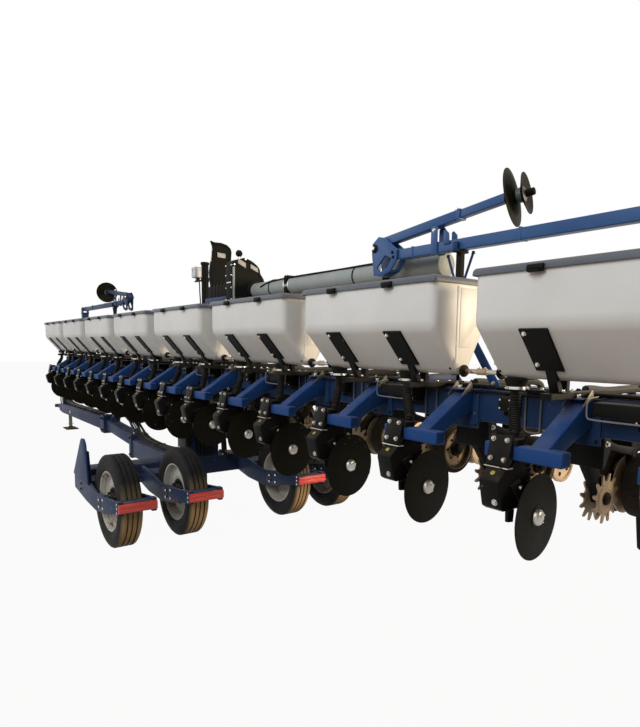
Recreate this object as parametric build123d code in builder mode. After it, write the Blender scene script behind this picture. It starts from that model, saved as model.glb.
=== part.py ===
from build123d import *
import os

os.makedirs("parts", exist_ok=True)

# Sizes in millimetres. X runs forward to the hitch, Y to the machine's left, Z up from the ground.
# The toolbar stands turned along X for the road, its working front facing left.

# Whole machine
row_pitch = 762
row_count = 16
hopper_count = 8
hopper_pitch = 2 * row_pitch
hitch_tip_x = 7860
bar_half_length = 6080
marker_mast_inset = 60
marker_mast_x = bar_half_length - marker_mast_inset
marker_mast_half = 70
rear_end_x = -(marker_mast_x + marker_mast_half)
centre_x = (hitch_tip_x + rear_end_x) / 2

# Toolbar
bar_rear_y = -200
bar_front_y = 0
bar_low_z = 1543
bar_high_z = 1743
chassis_y = (bar_rear_y + bar_front_y) / 2
on_chassis = Location((0, chassis_y, 0))
to_centre = Location((-centre_x, -chassis_y, 0))
quarter_turn = 90

# Turret and centre post
post_radius = 150
post_top_z = 1400
turret_radius = 175
turret_low_z = 1400.3
turret_plate_half_x = 160
turret_plate_half_y = 190
turret_plate_low_z = 1500
column_rear_x = -220
column_front_x = 180
column_half_y = 190
column_top_z = 920
column_cap_overlap = 20

# Lower beam
beam_rear_x = -220
beam_front_x = 60
beam_low_z = 400
beam_high_z = 620

# Wheels
wheel_x = -1020
wheel_radius = 455
tyre_half_width = 111
rim_radius = 300
tyre_bore_radius = 292
tyre_shoulder_drop = 32
tyre_shoulder_in = 26
tyre_bead_half_width = 90
rim_flange_half_width = 82
rim_barrel_radius = 270
disc_half_thickness = 9
disc_offset_y = 20
hub_radius = 78
hub_half_width = 88
axle_radius = 30
axle_gap = 0.3
wheel_outer_y = 1290
wheel_inner_y = 626
wheel_offsets_y = [wheel_outer_y, wheel_inner_y, -wheel_inner_y, -wheel_outer_y]

# Wheel forks, side outline columns: x, z
fork_inner_gap_y = 130
fork_thickness = 50
beam_half_y = wheel_outer_y + fork_inner_gap_y
fork_outline = [
    (-220, 400),
    (-220, 600),
    (-450, 590),
    (-850, 510),
    (-1520, 590),
    (-1620, 590),
    (-1620, 470),
    (-1120, 370),
    (-860, 330),
    (-480, 350),
]
outer_fork_outline = [
    (-20, 400),
    (-20, 580),
    (-450, 590),
    (-850, 510),
    (-1520, 590),
    (-1620, 590),
    (-1620, 470),
    (-1120, 370),
    (-860, 330),
    (-480, 350),
]
crossbar_rear_x = -1620
crossbar_front_x = -1530
crossbar_low_z = 480
crossbar_high_z = 580
reflector_thickness = 22
reflector_half_y = 176
reflector_low_z = 485
reflector_high_z = 572
fork_web_rear_x = -520
fork_web_low_z = 400
fork_web_high_z = 560

# Lift towers on the outer forks, columns: x, z
left_tower_outline = [(-20, 560), (-380, 985), (-500, 1005), (-560, 940), (-640, 540)]
right_tower_outline = [(-20, 560), (-340, 905), (-480, 905), (-540, 850), (-640, 540)]

# Tongue, outline columns: x, z
tongue_base_outline = [(60, 260), (60, 500), (2240, 505), (2240, 235)]
tongue_mid_outline = [(2240, 380), (2240, 565), (3700, 650), (3700, 475)]
tongue_front_outline = [(3700, 455), (3700, 690), (7000, 640), (7250, 585), (7250, 470), (7000, 440)]
tongue_base_half_y = 125
tongue_mid_half_y = 100
tongue_front_half_y = 118
base_collar_outline = [(2160, 215), (2160, 580), (2270, 590), (2270, 215)]
base_collar_half_y = 140
front_collar_outline = [(3620, 415), (3620, 722), (3820, 728), (3820, 422)]
front_collar_half_y = 145
rest_outline = [(2200, 585), (2480, 800), (2700, 850), (3150, 850), (3420, 790), (3560, 690), (3560, 640),
                (3460, 630), (3380, 720), (3120, 790), (2730, 790), (2560, 742), (2330, 570)]
rest_half_y = 55

# Hitch
hitch_bar_rear_x = 7250
hitch_bar_front_x = 7660
hitch_bar_half_y = 70
hitch_bar_low_z = 495
hitch_bar_high_z = 560
hitch_eye_radius = 110
hitch_eye_hole = 36
hitch_eye_x = hitch_tip_x - hitch_eye_radius

# Jack
jack_x = 7440
jack_y = -150
jack_leg_radius = 38
jack_sleeve_bore = 38.3
jack_sleeve_radius = 52
jack_sleeve_low_z = 400
jack_sleeve_high_z = 740
jack_leg_low_z = 28
jack_leg_high_z = 715
jack_foot_half_x = 190
jack_foot_half_y = 130
jack_cap_height = 20
jack_lug_half_x = 60
jack_lug_low_z = 500
jack_lug_high_z = 555
jack_crank_length = 190
jack_crank_radius = 14
jack_crank_z = 765

# Dry product hoppers, outline columns: y, z
hopper_gap = 268
hopper_half_x = (hopper_pitch - hopper_gap) / 2
hopper_wall = 8
hopper_front_y = 485
hopper_rear_y = 20
hopper_top_z = 2375
hopper_knee_z = 2100
hopper_bottom_z = 1835
hopper_bottom_rear_y = 165
hopper_bottom_front_y = 255
hopper_corner = 45
hopper_inner_corner = hopper_corner - hopper_wall
outlet_offset_left_x = 540
outlet_offset_right_x = -181
outlet_y = 210
outlet_radius = 52
outlet_bore = 38
outlet_low_z = 1768

# Lids
lid_overhang = 14
lid_thickness = 16
lid_skirt_depth = 26
lid_gap = 5.5
lid_gap_z = 0.3
lid_corner = 40
lid_inner_corner = 32

# Hopper straps on the sloped front and the brackets on the toolbar
strap_offset_x = 288
strap_half_width = 75
strap_thickness = 8
strap_top_share = 0.06
strap_low_share = 0.80
leg_half_width = 26
bracket_low_z = 1743
bracket_high_z = 1773
bracket_rear_y = -180
bracket_front_y = 330
bracket_half_width = 30
leg_foot_y = 215

# Drive shafts between the lower ends of the hoppers
shaft_y = 212
shaft_z = 1857
shaft_radius = 14

# Opener arms, outline columns: y, z
arm_offset_x = -120
arm_half_width = 50
arm_outline = [(0, 1740), (40, 1740), (120, 1700), (436, 1500), (436, 1440), (360, 1440), (120, 1585),
               (0, 1600)]
arm_plate_thickness = 16
arm_plate_half_width = 95
arm_plate_low_z = 1500
arm_plate_high_z = 1740
opener_bar_rear_y = 360
opener_bar_front_y = 436
opener_bar_low_z = 1440
opener_bar_high_z = 1516
opener_bar_right_x = -260
opener_bar_left_x = 175

# Openers under the crossbars
clamp_x0 = 0
clamp_x1 = 130
clamp_y0 = 436
clamp_y1 = 458
clamp_z0 = 1380
clamp_z1 = 1545
case_x0 = 12
case_x1 = 128
case_y0 = 255
case_y1 = 484
case_z0 = 1180
case_z1 = 1440
blade_arm_x0 = -8
blade_arm_x1 = 40
blade_arm_outline = [(370, 1340), (440, 1310), (290, 1120), (215, 1120), (215, 1180)]
blade_x = -30
blade_half_thickness = 3
blade_radius = 228
blade_y = 245
blade_z = 1128
blade_toe = 6
blade_lift = 27
over_wheels_near_x = 1000
over_wheels_far_x = 2000
blade_hub_radius = 45
blade_hub_x0 = -58
blade_hub_x1 = -8

# Product hoses
hose_radius = 42
hose_low_x = 90
hose_low_y = 305
hose_low_z = 1545
hose_high_z = 1690
hose_bend = 60

# Row units behind the toolbar. Y sizes are measured back from the toolbar's rear face.
head_thickness = 25
head_half_x = 130
head_low_z = 1340
head_high_z = 1745
head_flange_half_x = 104
head_flange_thickness = 12
head_flange_back = 130
link_back_0 = 70
link_back_1 = 470
link_half_x = 92
link_thickness = 12
link_drop = 90
link_upper_z = 1640
link_lower_z = 1470
link_half_height = 26
frame_half_x = 34
frame_outline = [(430, 1600), (540, 1640), (870, 1640), (960, 1480), (900, 1360), (430, 1360)]
frame_foot_outline = [(540, 1360), (640, 1360), (620, 1120), (560, 1120)]
frame_foot_half_x = 24
frame_ear_half_x = 80
frame_ear_back_0 = 440
frame_ear_back_1 = 500
frame_ear_low_z = 1372
frame_ear_high_z = 1590
gauge_back = 610
gauge_z = 1162
gauge_radius = 203
gauge_x0 = 42
gauge_x1 = 152
gauge_hub_radius = 60
gauge_arm_x0 = 154
gauge_arm_x1 = 172
gauge_arm_outline = [(570, 1180), (600, 1130), (650, 1150), (815, 1395), (790, 1440), (745, 1420)]
gauge_pin_back = 775
gauge_pin_z = 1400
gauge_pin_radius = 16
disc_back = 590
disc_z = 1160
disc_radius = 190
disc_half_x = 20
disc_hub_half_x = 24
disc_hub_radius = 28
disc_rim_half_x = 4
meter_back = 660
meter_z = 1500
meter_radius = 125
meter_x0 = 34
meter_x1 = 120
mini_half_x = 105
mini_back_0 = 560
mini_back_1 = 860
mini_low_z = 1640
mini_high_z = 1700
tail_half_x = 20
tail_outline = [(900, 1400), (960, 1400), (1130, 1200), (1130, 1130), (1060, 1090), (1000, 1130),
                (900, 1300)]
closing_back = 1060
closing_z = 1110
closing_radius = 150
closing_x0 = 34
closing_x1 = 66
closing_axle_radius = 12
cleaner_back = 250
cleaner_z = 1120
cleaner_radius = 150
cleaner_root_radius = 105
cleaner_teeth = 12
cleaner_tooth_half = 14
cleaner_x0 = 30
cleaner_x1 = 46
cleaner_arm_outline = [(25, 1440), (70, 1440), (150, 1345), (290, 1150), (270, 1100), (220, 1100),
                       (25, 1350)]
cleaner_arm_half_x = 26
cleaner_hub_radius = 40

# Fill auger and its stands
auger_y = -520
auger_z = 2620
auger_radius = 95
auger_x0 = -1095
auger_x1 = -3640
collar_half_x = 32
collar_half = 105
auger_stands_x = [-1524, -3048]
stand_half_x = 40
stand_rear_y = -560
stand_post_front_y = -480
stand_foot_high_z = 1803
pipe_radius = 48
pipe_y = -680
pipe_z = 2690
pipe_x1 = -2300

# Auger head: rounded hood at the tube, tall curved panel behind it, outline columns: y, z
hood_outline = [(-218, 2480), (-218, 2916), (-265, 2953), (-386, 2990), (-482, 2959), (-549, 2916),
                (-584, 2878), (-589, 2828), (-638, 2765), (-648, 2715), (-639, 2480)]
hood_x0 = -740
hood_x1 = -560
panel_outline = [(-384, 2480), (-345, 2755), (-332, 2899), (-348, 3008), (-379, 3218), (-350, 3290),
                 (-390, 3273), (-490, 3276), (-572, 3259), (-624, 3220), (-639, 3176), (-628, 3046),
                 (-626, 2480)]
panel_x0 = 80
panel_x1 = 130
neck_radius = 88
head_base_x0 = -802
head_base_x1 = 160
head_base_y0 = -650
head_base_y1 = -218
head_base_z0 = 2440
head_base_z1 = 2480
pipe_lug_length = 60
pipe_lug_half_z = 40
head_posts_x = [-762, 60]

# Mast with its lamp
mast_x = 590
mast_y = -500
mast_radius = 48
mast_top_z = 3090
lamp_x0 = 760
lamp_x1 = 900
lamp_half_y = 70
lamp_z0 = 2900
lamp_z1 = 3050
lamp_arm_half = 18
lamp_arm_z = 2850

# Row markers
marker_y = -300
marker_hinge_x = marker_mast_x
marker_hinge_z = 2692
marker_tube_half = 38
marker_mast_top_z = 2625
marker_mast_front_y = -235
marker_mast_rear_y = -365
marker_foot_high_z = 1803
marker_ear_half_x = 60
marker_ear_y0 = 44
marker_ear_y1 = 62
marker_ear_top_z = 2735
marker_pin_radius = 15
marker_pin_gap = 0.3
marker_knee_x = 3120
knee_plate_reach = 250
outer_start_reach = 60
outer_end_reach = 1215
outer_disc_reach = 1280
marker_knee_z = 2768
marker_inner_end_x = marker_knee_x + knee_plate_reach
marker_inner_end_z = 2697
knee_ear = 16
knee_plate_outline = [(250, 2735), (110, 2838), (40, 2855), (-30, 2808), (-36, 2730), (-8, 2556), (70, 2545),
                      (180, 2575), (250, 2659)]
marker_outer_start_x = marker_knee_x + outer_start_reach
marker_outer_start_z = 2812
marker_outer_end_x = marker_knee_x + outer_end_reach
marker_outer_end_z = 2942
outer_tube_half = 34
marker_disc_x = marker_knee_x + outer_disc_reach
marker_disc_drop = 6
marker_disc_z = marker_outer_end_z - marker_disc_drop
marker_disc_radius = 182
marker_far_disc_radius = 128
marker_disc_yaw = 19
marker_disc_tilt = 10
marker_disc_dish = 28
marker_disc_thickness = 7
marker_disc_gap = 30
marker_axle_radius = 24
marker_axle_length = 190
marker_hub_radius = 48
marker_hub_half = 24
cradle_x = 3950
cradle_half = 22
cradle_cup_half_y = 62
cradle_cup_inner_y = 44
cradle_cup_low_z = 2642
cradle_cup_floor_z = 2657.5
cradle_cup_high_z = 2712


def row_places():
    return [(row - (row_count - 1) / 2) * row_pitch for row in range(row_count)]


def hopper_places():
    return [(spot - (hopper_count - 1) / 2) * hopper_pitch for spot in range(hopper_count)]


def block(x0, x1, y0, y1, z0, z1, mode=Mode.ADD):
    with Locations(((x0 + x1) / 2, (y0 + y1) / 2, (z0 + z1) / 2)):
        Box(abs(x1 - x0), abs(y1 - y0), abs(z1 - z0), mode=mode)


def side_plate(outline, y0, y1, mode=Mode.ADD):
    with BuildSketch(Plane.XZ.offset(-y0)) as face:
        with BuildLine():
            Polyline(*outline, close=True)
        make_face()
    extrude(face.sketch, amount=-(y1 - y0), mode=mode)


def end_plate(outline, x0, x1, mode=Mode.ADD):
    with BuildSketch(Plane.YZ.offset(x0)) as face:
        with BuildLine():
            Polyline(*outline, close=True)
        make_face()
    extrude(face.sketch, amount=x1 - x0, mode=mode)


def rod_x(y, z, radius, x0, x1, mode=Mode.ADD):
    with BuildSketch(Plane.YZ.offset(x0)) as face:
        with Locations((y, z)):
            Circle(radius)
    extrude(face.sketch, amount=x1 - x0, mode=mode)


def rod_y(x, z, radius, y0, y1, mode=Mode.ADD):
    with BuildSketch(Plane.XZ.offset(-y0)) as face:
        with Locations((x, z)):
            Circle(radius)
    extrude(face.sketch, amount=-(y1 - y0), mode=mode)


def rod_z(x, y, radius, z0, z1, mode=Mode.ADD):
    with BuildSketch(Plane.XY.offset(z0)) as face:
        with Locations((x, y)):
            Circle(radius)
    extrude(face.sketch, amount=z1 - z0, mode=mode)


def back(outline):
    return [(bar_rear_y - depth, height) for depth, height in outline]


def at_rows(piece):
    return [piece.moved(Location((place, 0, 0))) for place in row_places()]


def save(solids, label):
    group = Compound([solid for piece in solids for solid in piece.solids()])
    group = group.moved(to_centre)
    group.label = label
    export_step(group, f"parts/{label}.step")


# Lower frame of the machine
with BuildPart() as axle_beam:
    block(beam_rear_x, beam_front_x, -beam_half_y, beam_half_y, beam_low_z, beam_high_z)
save([axle_beam.part.moved(on_chassis)], "axle_beam")

with BuildPart() as centre_post:
    block(column_rear_x, column_front_x, -column_half_y, column_half_y, beam_high_z, column_top_z)
    rod_z(0, 0, post_radius, column_top_z - column_cap_overlap, post_top_z)
save([centre_post.part.moved(on_chassis)], "centre_post")

# The tongue's three telescoping tubes and collars
with BuildPart() as tongue:
    side_plate(tongue_base_outline, -tongue_base_half_y, tongue_base_half_y)
    side_plate(base_collar_outline, -base_collar_half_y, base_collar_half_y)
    side_plate(tongue_mid_outline, -tongue_mid_half_y, tongue_mid_half_y)
    side_plate(tongue_front_outline, -tongue_front_half_y, tongue_front_half_y)
    side_plate(front_collar_outline, -front_collar_half_y, front_collar_half_y)
    block(front_collar_outline[0][0], tongue_front_outline[0][0], -tongue_front_half_y, tongue_front_half_y,
          tongue_front_outline[0][1], tongue_front_outline[1][1])
    side_plate(rest_outline, -rest_half_y, rest_half_y)
save([tongue.part.moved(on_chassis)], "tongue")

with BuildPart() as hitch:
    block(hitch_bar_rear_x, hitch_bar_front_x, -hitch_bar_half_y, hitch_bar_half_y,
          hitch_bar_low_z, hitch_bar_high_z)
    rod_z(hitch_eye_x, 0, hitch_eye_radius, hitch_bar_low_z, hitch_bar_high_z)
    rod_z(hitch_eye_x, 0, hitch_eye_hole, hitch_bar_low_z, hitch_bar_high_z, mode=Mode.SUBTRACT)
save([hitch.part.moved(on_chassis)], "hitch")

with BuildPart() as jack_sleeve:
    rod_z(jack_x, jack_y, jack_sleeve_radius, jack_sleeve_low_z, jack_sleeve_high_z)
    block(jack_x - jack_lug_half_x, jack_x + jack_lug_half_x, jack_y, -hitch_bar_half_y,
          jack_lug_low_z, jack_lug_high_z)
    rod_z(jack_x, jack_y, jack_sleeve_bore, jack_sleeve_low_z, jack_sleeve_high_z - jack_cap_height,
          mode=Mode.SUBTRACT)
    rod_z(jack_x, jack_y, jack_crank_radius, jack_sleeve_high_z, jack_crank_z)
    rod_x(jack_y, jack_crank_z, jack_crank_radius, jack_x, jack_x + jack_crank_length)
save([jack_sleeve.part.moved(on_chassis)], "jack_sleeve")

with BuildPart() as jack_leg:
    rod_z(jack_x, jack_y, jack_leg_radius, jack_leg_low_z, jack_leg_high_z)
    block(jack_x - jack_foot_half_x, jack_x + jack_foot_half_x, jack_y - jack_foot_half_y,
          jack_y + jack_foot_half_y, 0, jack_leg_low_z)
save([jack_leg.part.moved(on_chassis)], "jack_leg")

# Forks that carry the four road wheels
forks = []
reflectors = []
tyres = []
rims = []
for wheel_y in wheel_offsets_y:
    outer_y = fork_inner_gap_y + fork_thickness
    with BuildPart() as fork:
        left_outline = outer_fork_outline if wheel_y == max(wheel_offsets_y) else fork_outline
        right_outline = outer_fork_outline if wheel_y == min(wheel_offsets_y) else fork_outline
        side_plate(left_outline, wheel_y + fork_inner_gap_y, wheel_y + outer_y)
        side_plate(right_outline, wheel_y - outer_y, wheel_y - fork_inner_gap_y)
        block(crossbar_rear_x, crossbar_front_x, wheel_y - outer_y, wheel_y + outer_y,
              crossbar_low_z, crossbar_high_z)
        block(fork_web_rear_x, beam_rear_x, wheel_y - fork_inner_gap_y, wheel_y + fork_inner_gap_y,
              fork_web_low_z, fork_web_high_z)
        rod_y(wheel_x, wheel_radius, axle_radius, wheel_y - outer_y, wheel_y + outer_y)
        if wheel_y == max(wheel_offsets_y):
            side_plate(left_tower_outline, wheel_y + fork_inner_gap_y, wheel_y + outer_y)
        if wheel_y == min(wheel_offsets_y):
            side_plate(right_tower_outline, wheel_y - outer_y, wheel_y - fork_inner_gap_y)
    forks.append(fork.part)
    with BuildPart() as reflector:
        block(crossbar_rear_x - reflector_thickness, crossbar_rear_x, wheel_y - reflector_half_y,
              wheel_y + reflector_half_y, reflector_low_z, reflector_high_z)
    reflectors.append(reflector.part)
    shoulder_y = tyre_half_width - tyre_shoulder_in
    with BuildPart() as tyre:
        with BuildSketch(Plane.XZ):
            with BuildLine():
                Polyline(
                    (tyre_bore_radius, -tyre_bead_half_width),
                    (tyre_bore_radius, tyre_bead_half_width),
                    (rim_radius + tyre_shoulder_drop, tyre_half_width),
                    (wheel_radius - tyre_shoulder_drop, tyre_half_width),
                    (wheel_radius, shoulder_y),
                    (wheel_radius, -shoulder_y),
                    (wheel_radius - tyre_shoulder_drop, -tyre_half_width),
                    (rim_radius + tyre_shoulder_drop, -tyre_half_width),
                    close=True,
                )
            make_face()
        revolve(axis=Axis.Z)
    tyres.append(tyre.part)
    with BuildPart() as rim:
        with BuildSketch(Plane.XZ):
            with BuildLine():
                Polyline(
                    (axle_radius + axle_gap, -hub_half_width),
                    (hub_radius, -hub_half_width),
                    (hub_radius, disc_offset_y - disc_half_thickness),
                    (rim_barrel_radius, disc_offset_y - disc_half_thickness),
                    (rim_barrel_radius, -rim_flange_half_width),
                    (tyre_bore_radius, -rim_flange_half_width),
                    (tyre_bore_radius, rim_flange_half_width),
                    (rim_barrel_radius, rim_flange_half_width),
                    (rim_barrel_radius, disc_offset_y + disc_half_thickness),
                    (hub_radius, disc_offset_y + disc_half_thickness),
                    (hub_radius, hub_half_width),
                    (axle_radius + axle_gap, hub_half_width),
                    close=True,
                )
            make_face()
        revolve(axis=Axis.Z)
    rims.append(rim.part)
save([fork.moved(on_chassis) for fork in forks], "wheel_forks")
save([reflector.moved(on_chassis) for reflector in reflectors], "reflector_bars")
for spot, wheel_y in enumerate(wheel_offsets_y):
    side = -1 if wheel_y < 0 else 1
    lay_down = Location((wheel_x, chassis_y + wheel_y, wheel_radius), (-side * quarter_turn, 0, 0))
    save([tyres[spot].moved(lay_down)], f"tyre_{spot + 1}")
    save([rims[spot].moved(lay_down)], f"rim_{spot + 1}")

# Turning frame
with BuildPart() as toolbar:
    block(-bar_half_length, bar_half_length, bar_rear_y, bar_front_y, bar_low_z, bar_high_z)
save([toolbar.part], "toolbar")

with BuildPart() as turret:
    block(-turret_plate_half_x, turret_plate_half_x, chassis_y - turret_plate_half_y,
          chassis_y + turret_plate_half_y, turret_plate_low_z, bar_low_z)
    rod_z(0, chassis_y, turret_radius, turret_low_z, turret_plate_low_z)
save([turret.part], "turret")

# Hoppers, hollow and open at the top
hoppers = []
outlets = []
for place in hopper_places():
    with BuildPart() as cavity:
        with BuildSketch(Plane.YZ.offset(place - hopper_half_x + hopper_wall)):
            with BuildLine():
                Polyline(
                    (hopper_rear_y + hopper_wall, hopper_top_z),
                    (hopper_front_y - hopper_wall, hopper_top_z),
                    (hopper_front_y - hopper_wall, hopper_knee_z + hopper_wall / 2),
                    (hopper_bottom_front_y - hopper_wall / 2, hopper_bottom_z + hopper_wall),
                    (hopper_bottom_rear_y + hopper_wall / 2, hopper_bottom_z + hopper_wall),
                    (hopper_rear_y + hopper_wall, hopper_knee_z + hopper_wall / 2),
                    close=True,
                )
            make_face()
        extrude(amount=2 * (hopper_half_x - hopper_wall))
        fillet(cavity.edges().filter_by(Axis.Z), radius=hopper_inner_corner)
    with BuildPart() as hopper:
        with BuildSketch(Plane.YZ.offset(place - hopper_half_x)):
            with BuildLine():
                Polyline(
                    (hopper_rear_y, hopper_top_z),
                    (hopper_front_y, hopper_top_z),
                    (hopper_front_y, hopper_knee_z),
                    (hopper_bottom_front_y, hopper_bottom_z),
                    (hopper_bottom_rear_y, hopper_bottom_z),
                    (hopper_rear_y, hopper_knee_z),
                    close=True,
                )
            make_face()
        extrude(amount=2 * hopper_half_x)
        upright = hopper.edges().filter_by(Axis.Z)
        fillet(upright, radius=hopper_corner)
        add(cavity.part, mode=Mode.SUBTRACT)
    hoppers.append(hopper.part)
    for outlet_offset_x in (outlet_offset_right_x, outlet_offset_left_x):
        with BuildPart() as outlet:
            rod_z(place + outlet_offset_x, outlet_y, outlet_radius, outlet_low_z, hopper_bottom_z)
            rod_z(place + outlet_offset_x, outlet_y, outlet_bore, outlet_low_z, hopper_bottom_z,
                  mode=Mode.SUBTRACT)
        outlets.append(outlet.part)
save(hoppers, "hoppers")
save(outlets, "hopper_outlets")

for spot, place in enumerate(hopper_places()):
    with BuildPart() as lid:
        block(place - hopper_half_x - lid_overhang, place + hopper_half_x + lid_overhang,
              hopper_rear_y - lid_overhang, hopper_front_y + lid_overhang,
              hopper_top_z - lid_skirt_depth, hopper_top_z + lid_thickness)
        upright = lid.edges().filter_by(Axis.Z)
        fillet(upright, radius=lid_corner)
        with BuildSketch(Plane.XY.offset(hopper_top_z - lid_skirt_depth)) as recess:
            with Locations((place, (hopper_rear_y + hopper_front_y) / 2)):
                RectangleRounded(2 * (hopper_half_x + lid_gap), hopper_front_y - hopper_rear_y + 2 * lid_gap,
                                 lid_inner_corner)
        extrude(amount=lid_skirt_depth + lid_gap_z, mode=Mode.SUBTRACT)
    save([lid.part], f"lid_{spot + 1}")

# Straps from the toolbar brackets to the hoppers' sloped fronts
slope_y = hopper_front_y - hopper_bottom_front_y
slope_z = hopper_knee_z - hopper_bottom_z
slope_length = (slope_y**2 + slope_z**2) ** 0.5
out_y = slope_z / slope_length * strap_thickness
out_z = -slope_y / slope_length * strap_thickness
strap_top_y = hopper_front_y - slope_y * strap_top_share
strap_top_z = hopper_knee_z - slope_z * strap_top_share
strap_low_y = hopper_front_y - slope_y * strap_low_share
strap_low_z = hopper_knee_z - slope_z * strap_low_share
straps = []
for place in hopper_places():
    for side in (-1, 1):
        strap_x = place + side * strap_offset_x
        with BuildPart() as strap:
            end_plate(
                [
                    (strap_top_y, strap_top_z),
                    (strap_low_y, strap_low_z),
                    (strap_low_y + out_y, strap_low_z + out_z),
                    (strap_top_y + out_y, strap_top_z + out_z),
                ],
                strap_x - strap_half_width,
                strap_x + strap_half_width,
            )
            end_plate(
                [
                    (strap_low_y, strap_low_z),
                    (hopper_bottom_front_y, hopper_bottom_z),
                    (leg_foot_y, bracket_high_z),
                    (leg_foot_y, bracket_low_z),
                    (leg_foot_y + leg_half_width, bracket_low_z),
                    (hopper_bottom_front_y + leg_half_width, hopper_bottom_z - strap_thickness),
                    (strap_low_y + out_y, strap_low_z + out_z),
                ],
                strap_x - leg_half_width,
                strap_x + leg_half_width,
            )
            block(strap_x - bracket_half_width, strap_x + bracket_half_width, bracket_rear_y,
                  bracket_front_y, bracket_low_z, bracket_high_z)
            block(strap_x - leg_half_width, strap_x + leg_half_width, hopper_bottom_rear_y,
                  hopper_bottom_rear_y + leg_half_width, bracket_high_z, hopper_bottom_z)
        straps.append(strap.part)
save(straps, "hopper_straps")

shafts = []
for place in hopper_places()[:-1]:
    with BuildPart() as drive_shaft:
        rod_x(shaft_y, shaft_z, shaft_radius, place + hopper_half_x, place + hopper_pitch - hopper_half_x)
    shafts.append(drive_shaft.part)
save(shafts, "drive_shafts")

# Opener arms and crossbars in front of the toolbar, one to a row
with BuildPart() as opener_arm:
    end_plate(arm_outline, arm_offset_x - arm_half_width, arm_offset_x + arm_half_width)
    block(arm_offset_x - arm_plate_half_width, arm_offset_x + arm_plate_half_width, 0, arm_plate_thickness,
          arm_plate_low_z, arm_plate_high_z)
    block(opener_bar_right_x, opener_bar_left_x, opener_bar_rear_y, opener_bar_front_y,
          opener_bar_low_z, opener_bar_high_z)
save(at_rows(opener_arm.part), "opener_arms")

with BuildPart() as opener:
    block(clamp_x0, clamp_x1, clamp_y0, clamp_y1, clamp_z0, clamp_z1)
    block(case_x0, case_x1, case_y0, case_y1, case_z0, case_z1)
    end_plate(blade_arm_outline, blade_arm_x0, blade_arm_x1)
save(at_rows(opener.part), "openers")

with BuildPart() as blade:
    with Locations(Location((blade_x, 0, 0), (0, 0, blade_toe)) * Location((0, 0, 0), (0, quarter_turn, 0))):
        Cylinder(blade_radius, 2 * blade_half_thickness)
    rod_x(0, 0, blade_hub_radius, blade_hub_x0, blade_hub_x1)
blades = []
for place in row_places():
    over_wheels = -over_wheels_far_x < place < -over_wheels_near_x
    height = blade_z + blade_lift if over_wheels else blade_z
    blades.append(blade.part.moved(Location((place, blade_y, height))))
save(blades, "coulter_blades")

hoses = []
for place in hopper_places():
    for side, outlet_offset_x in ((-1, outlet_offset_right_x), (1, outlet_offset_left_x)):
        top_x = place + outlet_offset_x
        end_x = place + side * row_pitch / 2 + hose_low_x
        with BuildPart() as hose:
            with BuildLine() as hose_path:
                FilletPolyline(
                    (top_x, outlet_y, outlet_low_z),
                    (top_x, outlet_y, hose_high_z),
                    (end_x, hose_low_y, hose_low_z),
                    (end_x, hose_low_y, case_z1),
                    radius=hose_bend,
                )
            with BuildSketch(Plane((top_x, outlet_y, outlet_low_z), z_dir=(0, 0, -1))):
                Circle(hose_radius)
            sweep(path=hose_path.wires()[0])
        hoses.append(hose.part)
save(hoses, "product_hoses")

# Row units behind the toolbar, one to a row
with BuildPart() as row_head:
    block(-head_half_x, head_half_x, bar_rear_y - head_thickness, bar_rear_y, head_low_z, head_high_z)
    for side in (-1, 1):
        outer = side * head_flange_half_x
        inner = side * (head_flange_half_x - head_flange_thickness)
        block(min(outer, inner), max(outer, inner), bar_rear_y - head_flange_back,
              bar_rear_y - head_thickness, head_low_z, head_high_z)
save(at_rows(row_head.part), "row_heads")

links = []
for side in (-1, 1):
    for link_z in (link_upper_z, link_lower_z):
        x_out = side * link_half_x
        x_in = side * (link_half_x - link_thickness)
        with BuildPart() as link:
            end_plate(
                back([
                    (link_back_0, link_z + link_half_height),
                    (link_back_1, link_z - link_drop + link_half_height),
                    (link_back_1, link_z - link_drop - link_half_height),
                    (link_back_0, link_z - link_half_height),
                ]),
                min(x_out, x_in),
                max(x_out, x_in),
            )
        links.append(link.part)
save([piece for link in links for piece in at_rows(link)], "parallel_links")

with BuildPart() as row_frame:
    end_plate(back(frame_outline), -frame_half_x, frame_half_x)
    end_plate(back(frame_foot_outline), frame_foot_half_x, frame_half_x)
    end_plate(back(frame_foot_outline), -frame_half_x, -frame_foot_half_x)
    block(-frame_ear_half_x, frame_ear_half_x, bar_rear_y - frame_ear_back_1, bar_rear_y - frame_ear_back_0,
          frame_ear_low_z, frame_ear_high_z)
    rod_x(bar_rear_y - gauge_pin_back, gauge_pin_z, gauge_pin_radius, -gauge_arm_x0, gauge_arm_x0)
save(at_rows(row_frame.part), "row_frames")

gauge_arms = []
gauge_wheels = []
for side in (-1, 1):
    with BuildPart() as gauge_arm:
        low_x = min(side * gauge_arm_x0, side * gauge_arm_x1)
        high_x = max(side * gauge_arm_x0, side * gauge_arm_x1)
        end_plate(back(gauge_arm_outline), low_x, high_x)
    gauge_arms.append(gauge_arm.part)
    with BuildPart() as gauge_wheel:
        low_x = min(side * gauge_x0, side * gauge_x1)
        high_x = max(side * gauge_x0, side * gauge_x1)
        rod_x(bar_rear_y - gauge_back, gauge_z, gauge_radius, low_x, high_x)
        rod_x(bar_rear_y - gauge_back, gauge_z, gauge_hub_radius, min(side * gauge_x1, side * gauge_arm_x0),
              max(side * gauge_x1, side * gauge_arm_x0))
    gauge_wheels.append(gauge_wheel.part)
save([piece for arm in gauge_arms for piece in at_rows(arm)], "gauge_arms")
save([piece for wheel in gauge_wheels for piece in at_rows(wheel)], "gauge_wheels")

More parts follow.
